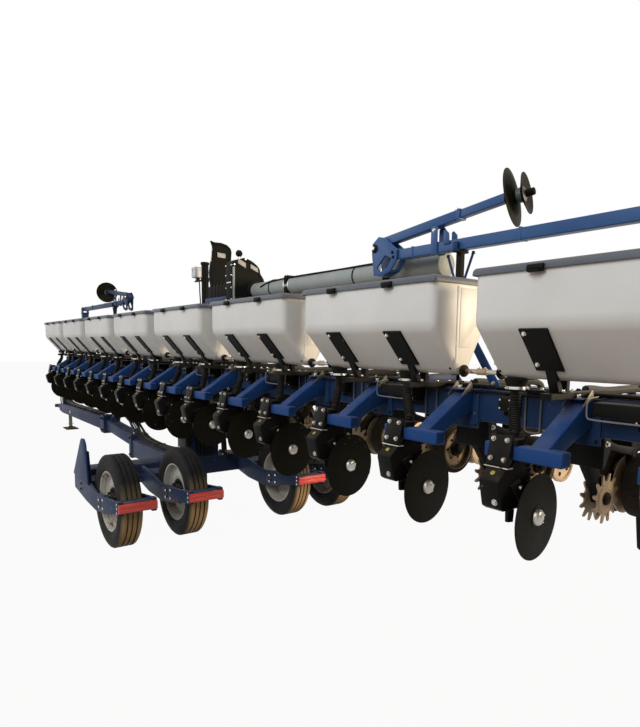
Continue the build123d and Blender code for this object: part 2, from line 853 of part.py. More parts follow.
with BuildPart() as opener_disc:
    with BuildSketch(Plane.XZ):
        with BuildLine():
            Polyline((0, -disc_half_x), (disc_radius, -disc_rim_half_x), (disc_radius, disc_rim_half_x),
                     (0, disc_half_x), close=True)
        make_face()
    revolve(axis=Axis.Z)
    rod_z(0, 0, disc_hub_radius, -disc_hub_half_x, disc_hub_half_x)
disc_place = Location((0, bar_rear_y - disc_back, disc_z)) * Location((0, 0, 0), (0, quarter_turn, 0))
save(at_rows(opener_disc.part.moved(disc_place)), "seed_discs")

with BuildPart() as meter:
    rod_x(bar_rear_y - meter_back, meter_z, meter_radius, meter_x0, meter_x1)
with BuildPart() as mini_hopper:
    block(-mini_half_x, mini_half_x, bar_rear_y - mini_back_1, bar_rear_y - mini_back_0,
          mini_low_z, mini_high_z)
save(at_rows(meter.part) + at_rows(mini_hopper.part), "seed_meters")

with BuildPart() as tail:
    end_plate(back(tail_outline), -tail_half_x, tail_half_x)
    end_plate(back(frame_outline), -frame_half_x, frame_half_x, mode=Mode.SUBTRACT)
    rod_x(bar_rear_y - closing_back, closing_z, closing_axle_radius, -closing_x0, closing_x0)
save(at_rows(tail.part), "closing_frames")

closing_wheels = []
for side in (-1, 1):
    low_x = min(side * closing_x0, side * closing_x1)
    high_x = max(side * closing_x0, side * closing_x1)
    with BuildPart() as closing_wheel:
        rod_x(bar_rear_y - closing_back, closing_z, closing_radius, low_x, high_x)
    closing_wheels.append(closing_wheel.part)
save([piece for wheel in closing_wheels for piece in at_rows(wheel)], "closing_wheels")

with BuildPart() as cleaner_arm:
    end_plate(back(cleaner_arm_outline), -cleaner_arm_half_x, cleaner_arm_half_x)
save(at_rows(cleaner_arm.part), "cleaner_arms")

cleaners = []
for side in (-1, 1):
    low_x = min(side * cleaner_x0, side * cleaner_x1)
    high_x = max(side * cleaner_x0, side * cleaner_x1)
    with BuildPart() as cleaner:
        rod_x(bar_rear_y - cleaner_back, cleaner_z, cleaner_root_radius, low_x, high_x)
        with BuildSketch(Plane.YZ.offset(low_x)):
            with Locations((bar_rear_y - cleaner_back, cleaner_z)):
                with PolarLocations(0, cleaner_teeth):
                    Rectangle(cleaner_radius, 2 * cleaner_tooth_half, align=(Align.MIN, Align.CENTER))
        extrude(amount=high_x - low_x)
        rod_x(bar_rear_y - cleaner_back, cleaner_z, cleaner_hub_radius,
              min(side * cleaner_arm_half_x, side * cleaner_x0),
              max(side * cleaner_arm_half_x, side * cleaner_x0))
    cleaners.append(cleaner.part)
save([piece for cleaner_piece in cleaners for piece in at_rows(cleaner_piece)], "row_cleaners")

# Fill auger above the row units
with BuildPart() as auger:
    rod_x(auger_y, auger_z, auger_radius, auger_x1, auger_x0)
    for stand_x in auger_stands_x:
        block(stand_x - collar_half_x, stand_x + collar_half_x, auger_y - collar_half, auger_y + collar_half,
              auger_z - collar_half, auger_z + collar_half)
stands = []
for stand_x in auger_stands_x:
    with BuildPart() as stand:
        block(stand_x - stand_half_x, stand_x + stand_half_x, stand_rear_y, bar_front_y,
              bar_high_z, stand_foot_high_z)
        block(stand_x - stand_half_x, stand_x + stand_half_x, stand_rear_y, stand_post_front_y,
              stand_foot_high_z, auger_z - collar_half)
    stands.append(stand.part)
for post_x in head_posts_x:
    with BuildPart() as stand:
        block(post_x - stand_half_x, post_x + stand_half_x, stand_rear_y, bar_front_y,
              bar_high_z, stand_foot_high_z)
        block(post_x - stand_half_x, post_x + stand_half_x, stand_rear_y, stand_post_front_y,
              stand_foot_high_z, head_base_z0)
    stands.append(stand.part)
save(stands, "auger_stands")

with BuildPart() as auger_pipe:
    rod_x(pipe_y, pipe_z, pipe_radius, pipe_x1, hood_x0)
save([auger.part, auger_pipe.part], "auger_tube")

with BuildPart() as auger_head:
    block(head_base_x0, head_base_x1, head_base_y0, head_base_y1, head_base_z0, head_base_z1)
    end_plate(hood_outline, hood_x0, hood_x1)
    end_plate(panel_outline, panel_x0, panel_x1)
    rod_x(auger_y, auger_z, neck_radius, auger_x0, hood_x0)
    block(hood_x0, hood_x0 + pipe_lug_length, pipe_y, auger_y, pipe_z - pipe_lug_half_z,
          pipe_z + pipe_lug_half_z)
save([auger_head.part], "auger_head")

with BuildPart() as mast:
    rod_z(mast_x, mast_y, mast_radius, stand_foot_high_z, mast_top_z)
    block(mast_x - stand_half_x, mast_x + stand_half_x, mast_y - stand_half_x, bar_front_y,
          bar_high_z, stand_foot_high_z)
    block(mast_x, lamp_x1, mast_y - lamp_arm_half, mast_y + lamp_arm_half,
          lamp_arm_z, lamp_arm_z + lamp_arm_half)
save([mast.part], "mast")

with BuildPart() as lamp:
    block(lamp_x0, lamp_x1, mast_y - lamp_half_y, mast_y + lamp_half_y, lamp_z0, lamp_z1)
    block(lamp_x0, lamp_x1, mast_y - lamp_arm_half, mast_y + lamp_arm_half,
          lamp_arm_z + lamp_arm_half, lamp_z0)
save([lamp.part], "work_lamp")

# Row markers folded over the hoppers
marker_posts = []
for side in (-1, 1):
    mast_place = side * marker_mast_x
    with BuildPart() as marker_post:
        block(mast_place - marker_mast_half, mast_place + marker_mast_half, marker_mast_rear_y,
              marker_mast_front_y, bar_high_z, marker_mast_top_z)
        block(mast_place - marker_mast_half, mast_place + marker_mast_half, marker_mast_front_y, bar_front_y,
              bar_high_z, marker_foot_high_z)
        for ear in (-1, 1):
            near_y = marker_y + ear * marker_ear_y0
            far_y = marker_y + ear * marker_ear_y1
            block(mast_place - marker_ear_half_x, mast_place + marker_ear_half_x, min(near_y, far_y),
                  max(near_y, far_y), marker_mast_top_z, marker_ear_top_z)
        rod_y(side * marker_hinge_x, marker_hinge_z, marker_pin_radius, marker_y - marker_ear_y1,
              marker_y + marker_ear_y1)
    marker_posts.append(marker_post.part)
    with BuildPart() as cradle:
        block(side * cradle_x - cradle_half, side * cradle_x + cradle_half, marker_y - cradle_half,
              marker_y + cradle_half, bar_high_z, cradle_cup_low_z)
        block(side * cradle_x - cradle_half, side * cradle_x + cradle_half, marker_y + cradle_half,
              bar_front_y, bar_high_z, marker_foot_high_z)
        block(side * cradle_x - cradle_half, side * cradle_x + cradle_half, marker_y - cradle_cup_half_y,
              marker_y + cradle_cup_half_y, cradle_cup_low_z, cradle_cup_floor_z)
        for ear in (-1, 1):
            near_y = marker_y + ear * cradle_cup_inner_y
            far_y = marker_y + ear * cradle_cup_half_y
            block(side * cradle_x - cradle_half, side * cradle_x + cradle_half, min(near_y, far_y),
                  max(near_y, far_y), cradle_cup_floor_z, cradle_cup_high_z)
    marker_posts.append(cradle.part)
save(marker_posts, "marker_supports")

for side, end_name in ((1, "front"), (-1, "rear")):
    with BuildPart() as inner_arm:
        side_plate(
            [
                (side * marker_hinge_x, marker_hinge_z + marker_tube_half),
                (side * marker_inner_end_x, marker_inner_end_z + marker_tube_half),
                (side * marker_inner_end_x, marker_inner_end_z - marker_tube_half),
                (side * marker_hinge_x, marker_hinge_z - marker_tube_half),
            ],
            marker_y - marker_tube_half,
            marker_y + marker_tube_half,
        )
        rod_y(side * marker_hinge_x, marker_hinge_z, marker_tube_half, marker_y - marker_tube_half,
              marker_y + marker_tube_half)
        rod_y(side * marker_hinge_x, marker_hinge_z, marker_pin_radius + marker_pin_gap,
              marker_y - marker_tube_half, marker_y + marker_tube_half, mode=Mode.SUBTRACT)
        for ear in (-1, 1):
            near_y = marker_y + ear * marker_tube_half
            far_y = marker_y + ear * (marker_tube_half + knee_ear)
            side_plate(
                [(side * (marker_knee_x + reach), height) for reach, height in knee_plate_outline],
                min(near_y, far_y),
                max(near_y, far_y),
            )
        rod_y(side * marker_knee_x, marker_knee_z, marker_pin_radius, marker_y - marker_tube_half,
              marker_y + marker_tube_half)
    save([inner_arm.part], f"marker_inner_{end_name}")
    with BuildPart() as outer_arm:
        side_plate(
            [
                (side * marker_knee_x, marker_knee_z - outer_tube_half),
                (side * marker_knee_x, marker_knee_z + outer_tube_half),
                (side * marker_outer_start_x, marker_outer_start_z + outer_tube_half),
                (side * marker_outer_end_x, marker_outer_end_z + outer_tube_half),
                (side * marker_outer_end_x, marker_outer_end_z - outer_tube_half),
                (side * marker_outer_start_x, marker_outer_start_z - outer_tube_half),
            ],
            marker_y - outer_tube_half,
            marker_y + outer_tube_half,
        )
        rod_y(side * marker_knee_x, marker_knee_z, outer_tube_half, marker_y - outer_tube_half,
              marker_y + outer_tube_half)
        rod_y(side * marker_knee_x, marker_knee_z, marker_pin_radius + marker_pin_gap,
              marker_y - outer_tube_half, marker_y + outer_tube_half, mode=Mode.SUBTRACT)
    with BuildPart() as disc_pair:
        with Locations(Location((0, 0, 0), (0, quarter_turn, 0))):
            Cylinder(marker_axle_radius, marker_axle_length)
            Cylinder(marker_hub_radius, marker_disc_gap + 2 * marker_hub_half)
        for disc_side, disc_size in ((1, marker_disc_radius), (-1, marker_far_disc_radius)):
            near_x = disc_side * marker_disc_gap / 2
            rim_x = near_x + disc_side * marker_disc_dish
            with BuildSketch(Plane.XZ):
                with BuildLine():
                    Polyline(
                        (near_x, 0),
                        (near_x, marker_hub_radius),
                        (rim_x, disc_size),
                        (rim_x + disc_side * marker_disc_thickness, disc_size),
                        (near_x + disc_side * marker_disc_thickness, marker_hub_radius),
                        (near_x + disc_side * marker_disc_thickness, 0),
                        close=True,
                    )
                make_face()
            revolve(axis=Axis.X)
    turn = -quarter_turn * (side + 1) - side * marker_disc_yaw
    disc_place = Location((side * marker_disc_x, marker_y, marker_disc_z), (0, 0, turn))
    disc_place = disc_place * Location((0, 0, 0), (0, marker_disc_tilt, 0))
    with BuildPart() as outer_with_discs:
        add(outer_arm.part)
        add(disc_pair.part.moved(disc_place))
    save([outer_with_discs.part], f"marker_outer_{end_name}")
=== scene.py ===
"""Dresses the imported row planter: finishes for every part, modelled detail, camera, lamps and floor."""
import logging
import math
from dataclasses import dataclass
from enum import Enum
from typing import Callable, Iterable, Optional, Sequence, Union

import bpy
from mathutils import Matrix, Vector


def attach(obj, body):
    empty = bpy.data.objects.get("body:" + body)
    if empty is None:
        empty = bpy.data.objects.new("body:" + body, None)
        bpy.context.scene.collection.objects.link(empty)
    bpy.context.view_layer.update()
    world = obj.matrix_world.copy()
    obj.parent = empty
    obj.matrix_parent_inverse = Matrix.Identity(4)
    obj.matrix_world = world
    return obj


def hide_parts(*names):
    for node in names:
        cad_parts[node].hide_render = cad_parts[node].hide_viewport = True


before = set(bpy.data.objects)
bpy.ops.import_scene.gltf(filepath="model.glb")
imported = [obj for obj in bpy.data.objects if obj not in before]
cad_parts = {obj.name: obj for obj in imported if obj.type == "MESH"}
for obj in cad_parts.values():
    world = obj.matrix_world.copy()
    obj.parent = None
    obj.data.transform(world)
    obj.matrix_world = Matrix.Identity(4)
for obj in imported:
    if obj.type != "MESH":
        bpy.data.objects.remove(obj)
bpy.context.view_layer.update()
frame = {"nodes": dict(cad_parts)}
LOG = logging.getLogger("planter")

# Sizes are in millimetres of the drawing, whose X is 885 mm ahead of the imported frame's and whose Y
# is 100 mm to the right of it.
MM = 0.001
DRAWING_AHEAD = 885.0
DRAWING_LEFT = 100.0
ROW_PITCH = 762.0
ROWS = [(row - 7.5) * ROW_PITCH for row in range(16)]
HOPPERS = [(spot - 3.5) * 2 * ROW_PITCH for spot in range(8)]
CHASSIS_Y = -100.0
WHEEL_PLACES = (1290.0, 626.0, -626.0, -1290.0)

# Share of a face's normal that lies along an axis when the face counts as square to it.
FLAT = 0.99
# Points of a turned shape that are nearer than this, in metres, become one.
MERGE_WITHIN = 0.00002
# Control points in each turn of a spring.
COIL_STEPS = 8
# Camera sensor's width in millimetres.
SENSOR_WIDTH = 36.0
# White that the floor shows to the camera and in reflections; the rest is its shadowed paint.
BACKDROP_WHITE = 0.95
# Strength of the sky's light where it isn't seen straight on.
SKY_LIGHT = 0.34

Piece = bpy.types.Object
Point = tuple[float, float, float]
Pair = tuple[float, float]
Colour = tuple[float, float, float]
FaceTest = Callable[[bpy.types.MeshPolygon], bool]


class Along(Enum):
    """The axis that a shape runs along."""

    X = 0
    Y = 1
    Z = 2


def placed(point: Sequence[float]) -> Vector:
    """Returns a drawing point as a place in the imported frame, in metres."""
    return Vector(((point[0] - DRAWING_AHEAD) * MM, (point[1] + DRAWING_LEFT) * MM, point[2] * MM))


def on_plane(along: Along, a: float, b: float, depth: float) -> Point:
    """Gives the drawing point of a pair on a plane.

    Args:
        along: The axis across the plane.
        a: First size on the plane.
        b: Second size on the plane.
        depth: Where the plane lies on its axis.

    Returns:
        The point, with the pair as (y, z), (x, z) or (x, y).
    """
    if along is Along.X:
        return (depth, a, b)
    if along is Along.Y:
        return (a, depth, b)
    return (a, b, depth)


def spread(base: float, side: int, near: float, far: float) -> Pair:
    """Gives the ends of a span that lies to one side of a base.

    Args:
        base: The place that it is measured from.
        side: 1 or -1.
        near: Distance of one end.
        far: Distance of the other end.

    Returns:
        The lower and the higher end.
    """
    low, high = sorted((base + side * near, base + side * far))
    return (low, high)


def circle(centre: Sequence[float], along: Along, radius: float, count: int, start: float = 0.0) -> list[Point]:
    """Spaces points evenly round a circle.

    Args:
        centre: Its middle.
        along: The axis across it.
        radius: Its radius.
        count: Number of points.
        start: Angle of the first point.

    Returns:
        The points.
    """
    spots = []
    for number in range(count):
        turn = math.tau * number / count + start
        shift = on_plane(along, radius * math.cos(turn), radius * math.sin(turn), 0.0)
        spots.append(tuple(place + step for place, step in zip(centre, shift)))
    return spots


# Shader maths


class Wire:
    """A node's output that takes part in Python arithmetic."""

    def __init__(self, nodes: "Nodes", socket: bpy.types.NodeSocket) -> None:
        """Keeps the socket and the set of nodes it belongs to."""
        self.nodes = nodes
        self.socket = socket

    def _math(self, operation: str, first: "Term", second: "Term") -> "Wire":
        """Adds a Math node and returns its result."""
        return self.nodes.add("ShaderNodeMath", {"operation": operation}, {0: first, 1: second})

    def __add__(self, other: "Term") -> "Wire":
        """Returns self + other."""
        return self._math("ADD", self, other)

    __radd__ = __add__

    def __sub__(self, other: "Term") -> "Wire":
        """Returns self - other."""
        return self._math("SUBTRACT", self, other)

    def __mul__(self, other: "Term") -> "Wire":
        """Returns self * other."""
        return self._math("MULTIPLY", self, other)

    __rmul__ = __mul__


Term = Union[Wire, int, float]


class Nodes:
    """The node tree of one material or world."""

    def __init__(self, owner: Union[bpy.types.Material, bpy.types.World]) -> None:
        """Empties the owner's tree."""
        self.owner = owner
        owner.use_nodes = True
        self.tree = owner.node_tree
        self.tree.nodes.clear()

    def add(self, kind: str, settings: Optional[dict] = None, values: Optional[dict] = None,
            output: Union[int, str] = 0) -> Wire:
        """Adds one node.

        Args:
            kind: The node's type.
            settings: Its own settings, such as operation, or stops for a ramp.
            values: A value or a Wire for each input, by name or number.
            output: The output that is handed back.

        Returns:
            The chosen output as a Wire.
        """
        node = self.tree.nodes.new(kind)
        for key, setting in (settings or {}).items():
            if key == "stops":
                ramp = node.color_ramp
                for number, (spot, shade) in enumerate(setting):
                    stop = ramp.elements[number] if number < 2 else ramp.elements.new(spot)
                    stop.position = spot
                    stop.color = (*shade, 1.0)
            else:
                setattr(node, key, setting)
        for key, value in (values or {}).items():
            socket = node.inputs[key]
            if isinstance(value, Wire):
                self.tree.links.new(value.socket, socket)
            elif isinstance(value, tuple) and len(value) == 3 and socket.type == "RGBA":
                socket.default_value = (*value, 1.0)
            else:
                socket.default_value = value
        return Wire(self, node.outputs[output])

    def blend(self, share: Term, first: Union[Wire, Colour], second: Union[Wire, Colour]) -> Wire:
        """Returns first turning into second as share goes from 0 to 1."""
        return self.add("ShaderNodeMix", {"data_type": "RGBA"}, {0: share, 6: first, 7: second}, 2)

    def place(self) -> Wire:
        """Returns the object's own coordinates."""
        return self.add("ShaderNodeTexCoord", None, None, "Object")

    def noise(self, scale: float, detail: float = 3.0, rough: float = 0.55) -> Wire:
        """Returns a noise of that many waves to a metre."""
        values = {"Vector": self.place(), "Scale": scale, "Detail": detail, "Roughness": rough}
        return self.add("ShaderNodeTexNoise", None, values, 0)

    def ramp(self, wire: Wire, low: float, high: float) -> Wire:
        """Returns 0 at low rising to 1 at high, held beyond."""
        values = {"Value": wire, "From Min": low, "From Max": high}
        return self.add("ShaderNodeMapRange", {"clamp": True}, values, 0)

    def upward(self) -> Wire:
        """Returns how far a face looks up, from 0 to 1."""
        normal = self.add("ShaderNodeTexCoord", None, None, "Normal")
        height = self.add("ShaderNodeSeparateXYZ", None, {0: normal}, "Z")
        return self.ramp(height, 0.15, 0.95)

    def height(self) -> Wire:
        """Returns the place's height above the ground in metres."""
        return self.add("ShaderNodeSeparateXYZ", None, {0: self.place()}, "Z")

    def finish(self, values: dict, bump: Optional[Wire] = None, bump_height: float = 0.001,
               bump_share: float = 1.0) -> bpy.types.Material:
        """Ends the tree in a Principled shader.

        Args:
            values: Its inputs, by name.
            bump: The height that the Bump node reads.
            bump_height: The depth of the bump in metres.
            bump_share: The strength of the bump.

        Returns:
            The finished material.
        """
        inputs = dict(values)
        if bump is not None:
            settings = {"Strength": bump_share, "Distance": bump_height, "Height": bump}
            inputs["Normal"] = self.add("ShaderNodeBump", None, settings)
        shader = self.add("ShaderNodeBsdfPrincipled", None, inputs)
        self.add_output(shader)
        return self.owner

    def add_output(self, shader: Wire, kind: str = "ShaderNodeOutputMaterial") -> None:
        """Links the shader to the owner's output."""
        output = self.tree.nodes.new(kind)
        self.tree.links.new(shader.socket, output.inputs["Surface"])


@dataclass(frozen=True)
class Finish:
    """A surface: its colours, gloss, grain, wear and the soil on it."""

    name: str
    slot: str
    colour: Colour
    faded: Colour
    roughness: float = 0.45
    metallic: float = 0.0
    patch_scale: float = 2.6
    grain_scale: float = 260.0
    grain_depth: float = 0.0006
    grain_share: float = 0.25
    chip_level: float = 1.0
    chip_colour: Colour = (0.20, 0.17, 0.14)
    dust_colour: Colour = (0.34, 0.27, 0.19)
    dust_share: float = 0.25
    low_soil: float = 0.0
    low_soil_top: float = 1.2
    coat: float = 0.0
    specular: float = 0.5

    def material(self) -> bpy.types.Material:
        """Builds the material once and hands back the same one after that."""
        known = bpy.data.materials.get(self.name)
        return known if known is not None else self.shade(Nodes(bpy.data.materials.new(self.name)))

    def shade(self, nodes: Nodes) -> bpy.types.Material:
        """Lays fading, dust, chips and grain over the colour."""
        patches = nodes.ramp(nodes.noise(self.patch_scale, 5.0, 0.6), 0.36, 0.68)
        speckle = nodes.noise(38.0, 6.0, 0.65)
        colour = nodes.blend(patches, self.colour, self.faded)
        dust = nodes.upward() * nodes.ramp(nodes.noise(7.0, 5.0), 0.3, 0.7) * self.dust_share
        if self.low_soil > 0:
            height = nodes.ramp(nodes.height() + speckle * 0.25, self.low_soil_top, 0.1)
            dust = dust + height * self.low_soil * nodes.ramp(speckle, 0.35, 0.6)
        colour = nodes.blend(dust, colour, self.dust_colour)
        rough = self.roughness + patches * 0.10 + dust * 0.35 + speckle * 0.06 - 0.03
        metallic: Term = self.metallic
        if self.chip_level < 1.0:
            chips = nodes.ramp(speckle * nodes.ramp(nodes.noise(4.3, 4.0), 0.42, 0.62),
                               self.chip_level, self.chip_level + 0.03)
            colour = nodes.blend(chips, colour, self.chip_colour)
            metallic = chips * 0.7 + self.metallic
            rough = rough + chips * 0.1
        grain = nodes.noise(self.grain_scale, 2.0)
        values = {"Base Color": colour, "Roughness": rough, "Metallic": metallic,
                  "Specular IOR Level": self.specular}
        if self.coat > 0:
            values["Coat Weight"] = self.coat
            values["Coat Roughness"] = 0.12
        return nodes.finish(values, grain, self.grain_depth, self.grain_share)


BLUE = Finish("toolbar_blue", "blue_paint", (0.0125, 0.035, 0.100), (0.017, 0.044, 0.118), 0.38,
              grain_depth=0.0004, chip_level=0.64, dust_share=0.22, specular=0.12)
# A lighter copy of the toolbar blue for the opener arms, crossbars and hopper braces: painted light, the same paint
# drawn brighter where it is lit.
LIT_BLUE = Finish("lit_blue_paint", "blue_paint", (0.012, 0.052, 0.185), (0.018, 0.064, 0.212), 0.38,
                  grain_depth=0.0004, chip_level=0.64, dust_share=0.18, specular=0.12)
# A darker copy of the toolbar blue for the chassis, tongue, forks, beam and post: painted shade where they sit in
# shadow, and partly dirt.
SHADED_DIRTY_BLUE = Finish("shaded_dirty_blue_paint", "blue_paint", (0.010, 0.026, 0.074), (0.015, 0.036, 0.092), 0.42,
              chip_level=0.60, dust_share=0.25, low_soil=0.2, low_soil_top=0.9, specular=0.08)
# A paler copy of the toolbar blue for the rear marker: painted sunlight. Its upward faces also turn pale blue-grey
# through the dust mask, a painted sky highlight, not soil.
SUNLIT_BLUE = Finish("sunlit_blue_paint", "blue_paint", (0.030, 0.085, 0.235), (0.040, 0.105, 0.260), 0.36,
                   chip_level=0.66, dust_share=0.30, dust_colour=(0.30, 0.34, 0.42), specular=0.25)
BLACK = Finish("satin_black", "black_paint", (0.006, 0.006, 0.0055), (0.011, 0.010, 0.009), 0.42,
               chip_level=0.66, dust_share=0.12, low_soil=0.06, specular=0.06)
CAST = Finish("dark_cast_iron", "black_paint", (0.008, 0.0075, 0.006), (0.018, 0.015, 0.012), 0.58,
              grain_scale=120.0, grain_depth=0.0012, grain_share=0.5, chip_level=0.60, low_soil=0.12,
              dust_share=0.18, specular=0.05)
PLASTIC = Finish("moulded_black", "black_plastic", (0.007, 0.0075, 0.0065), (0.012, 0.012, 0.010), 0.5,
                 grain_scale=420.0, grain_depth=0.0004, dust_share=0.12, specular=0.05)
HOSE = Finish("black_hose", "hose_rubber", (0.008, 0.008, 0.007), (0.014, 0.013, 0.012), 0.55,
              grain_scale=500.0, dust_share=0.15, specular=0.06)
GREY_HOSE = Finish("grey_hose", "hose_rubber", (0.045, 0.046, 0.046), (0.070, 0.068, 0.062), 0.5, specular=0.12)
RUBBER = Finish("soiled_rubber", "gauge_rubber", (0.012, 0.011, 0.010), (0.034, 0.028, 0.022), 0.7,
                grain_scale=160.0, grain_depth=0.001, grain_share=0.5, low_soil=0.3, low_soil_top=1.5, specular=0.06)
CREAM = Finish("cream_hopper", "hopper_plastic", (0.800, 0.790, 0.760), (0.715, 0.700, 0.660), 0.42,
               patch_scale=1.4, grain_scale=320.0, grain_depth=0.0005, dust_share=0.10,
               dust_colour=(0.42, 0.34, 0.25))
SLATE = Finish("slate_lid", "lid_plastic", (0.068, 0.080, 0.105), (0.095, 0.107, 0.130), 0.48,
               grain_scale=380.0, dust_share=0.35)
STEEL = Finish("dull_steel", "bare_steel", (0.50, 0.47, 0.43), (0.36, 0.31, 0.26), 0.34, metallic=0.85,
               chip_level=0.52, chip_colour=(0.16, 0.09, 0.05), dust_share=0.2)
BRIGHT = Finish("plated_steel", "bare_steel", (0.68, 0.66, 0.60), (0.52, 0.48, 0.40), 0.22, metallic=0.95,
                dust_share=0.12)
WIRE = Finish("dull_wire", "bare_steel", (0.20, 0.19, 0.17), (0.12, 0.11, 0.09), 0.5, metallic=0.3, specular=0.2)
DARK_STEEL = Finish("blued_steel", "bare_steel", (0.0095, 0.009, 0.005), (0.015, 0.013, 0.008), 0.5,
                    patch_scale=5.0, chip_level=0.60, chip_colour=(0.10, 0.08, 0.06), dust_share=0.1,
                    specular=0.05)
WORN_DISC = Finish("soil_worn_steel", "bare_steel", (0.48, 0.38, 0.26), (0.32, 0.23, 0.14), 0.5, metallic=0.35,
                   patch_scale=7.0, chip_level=0.5, chip_colour=(0.14, 0.08, 0.05), dust_share=0.3)
DUSTY_CAST = Finish("dusty_cast", "black_paint", (0.42, 0.31, 0.19), (0.16, 0.11, 0.065), 0.6, patch_scale=5.0,
                    grain_scale=120.0, grain_depth=0.001, chip_level=0.5, chip_colour=(0.03, 0.025, 0.02))
AUGER = Finish("grey_auger_paint", "auger_grey", (0.370, 0.400, 0.392), (0.310, 0.335, 0.322), 0.42,
               chip_level=0.64, dust_share=0.2, specular=0.15)
LAMP = Finish("white_lamp", "lamp_white", (0.74, 0.75, 0.76), (0.62, 0.62, 0.62), 0.3, dust_share=0.15)
RIM = Finish("dusty_rim_white", "rim_paint", (0.560, 0.545, 0.480), (0.470, 0.450, 0.390), 0.4,
             chip_level=0.47, chip_colour=(0.20, 0.11, 0.06), dust_share=0.3, low_soil=0.4, low_soil_top=1.0)
PLATE = Finish("pale_plate", "lamp_white", (0.46, 0.46, 0.43), (0.38, 0.37, 0.34), 0.4)
YELLOW = Finish("yellow_plastic", "lamp_white", (0.42, 0.36, 0.05), (0.33, 0.28, 0.04), 0.45)
PANEL = Finish("grey_panel", "auger_grey", (0.085, 0.100, 0.080), (0.062, 0.074, 0.060), 0.45)


@dataclass(frozen=True)
class TyreRubber(Finish):
    """Tyre rubber with soil worn into its ribs and sidewalls, and a tan on the lower tread facing -x that is partly
    soil and partly painted low sunlight.
    """

    def shade(self, nodes: Nodes) -> bpy.types.Material:
        """Builds the rubber with a worn film, scuffs, and a tan on the lower tread facing -x: partly soil, partly
        painted sunlight.
        """
        film = nodes.ramp(nodes.noise(3.4, 6.0, 0.65), 0.42, 0.66)
        scuff = nodes.ramp(nodes.noise(46.0, 5.0, 0.7), 0.45, 0.7)
        colour = nodes.blend(film * 0.55, self.colour, self.faded)
        colour = nodes.blend(scuff * 0.35, colour, self.dust_colour)
        normal = nodes.add("ShaderNodeTexCoord", None, None, "Normal")
        # Faces that look towards -x, the side where the low sun falls.
        sun_side = nodes.ramp(nodes.add("ShaderNodeSeparateXYZ", None, {0: normal}, "X") * -1.0, 0.30, 0.85)
        low = nodes.ramp(nodes.height() + scuff * 0.06, 0.72, 0.30)
        # Painted low sunlight and soil: the lower tread facing -x turns tan (chip_colour).
        colour = nodes.blend(sun_side * low * 0.8, colour, self.chip_colour)
        rough = 0.62 + film * 0.2 + scuff * 0.1
        grain = nodes.noise(210.0, 3.0) + scuff * 0.4
        return nodes.finish({"Base Color": colour, "Roughness": rough, "Specular IOR Level": 0.1}, grain, 0.0012, 0.45)


# chip_colour here is the tan of the lower tread facing -x: partly soil, partly painted low sunlight.
TYRE = TyreRubber("worn_tyre_rubber", "tyre", (0.010, 0.011, 0.012), (0.032, 0.030, 0.028),
                  dust_colour=(0.07, 0.06, 0.05), chip_colour=(0.52, 0.37, 0.20))


@dataclass(frozen=True)
class LensRed(Finish):
    """A red reflector with a fine pattern of cells."""

    def shade(self, nodes: Nodes) -> bpy.types.Material:
        """Builds the red lens with its cells in the bump and the colour."""
        cells = nodes.add("ShaderNodeTexVoronoi", {"feature": "DISTANCE_TO_EDGE"},
                          {"Vector": nodes.place(), "Scale": 170.0}, "Distance")
        edge = nodes.ramp(cells, 0.0, 0.12)
        colour = nodes.blend(edge, self.faded, self.colour)
        colour = nodes.blend(nodes.upward() * 0.15, colour, self.dust_colour)
        rough = 0.16 + nodes.noise(20.0) * 0.12
        return nodes.finish({"Base Color": colour, "Roughness": rough, "Coat Weight": 0.08}, edge, 0.0008, 0.5)


RED = LensRed("red_lens", "reflector_red", (0.78, 0.045, 0.018), (0.62, 0.030, 0.012))


# Modelling


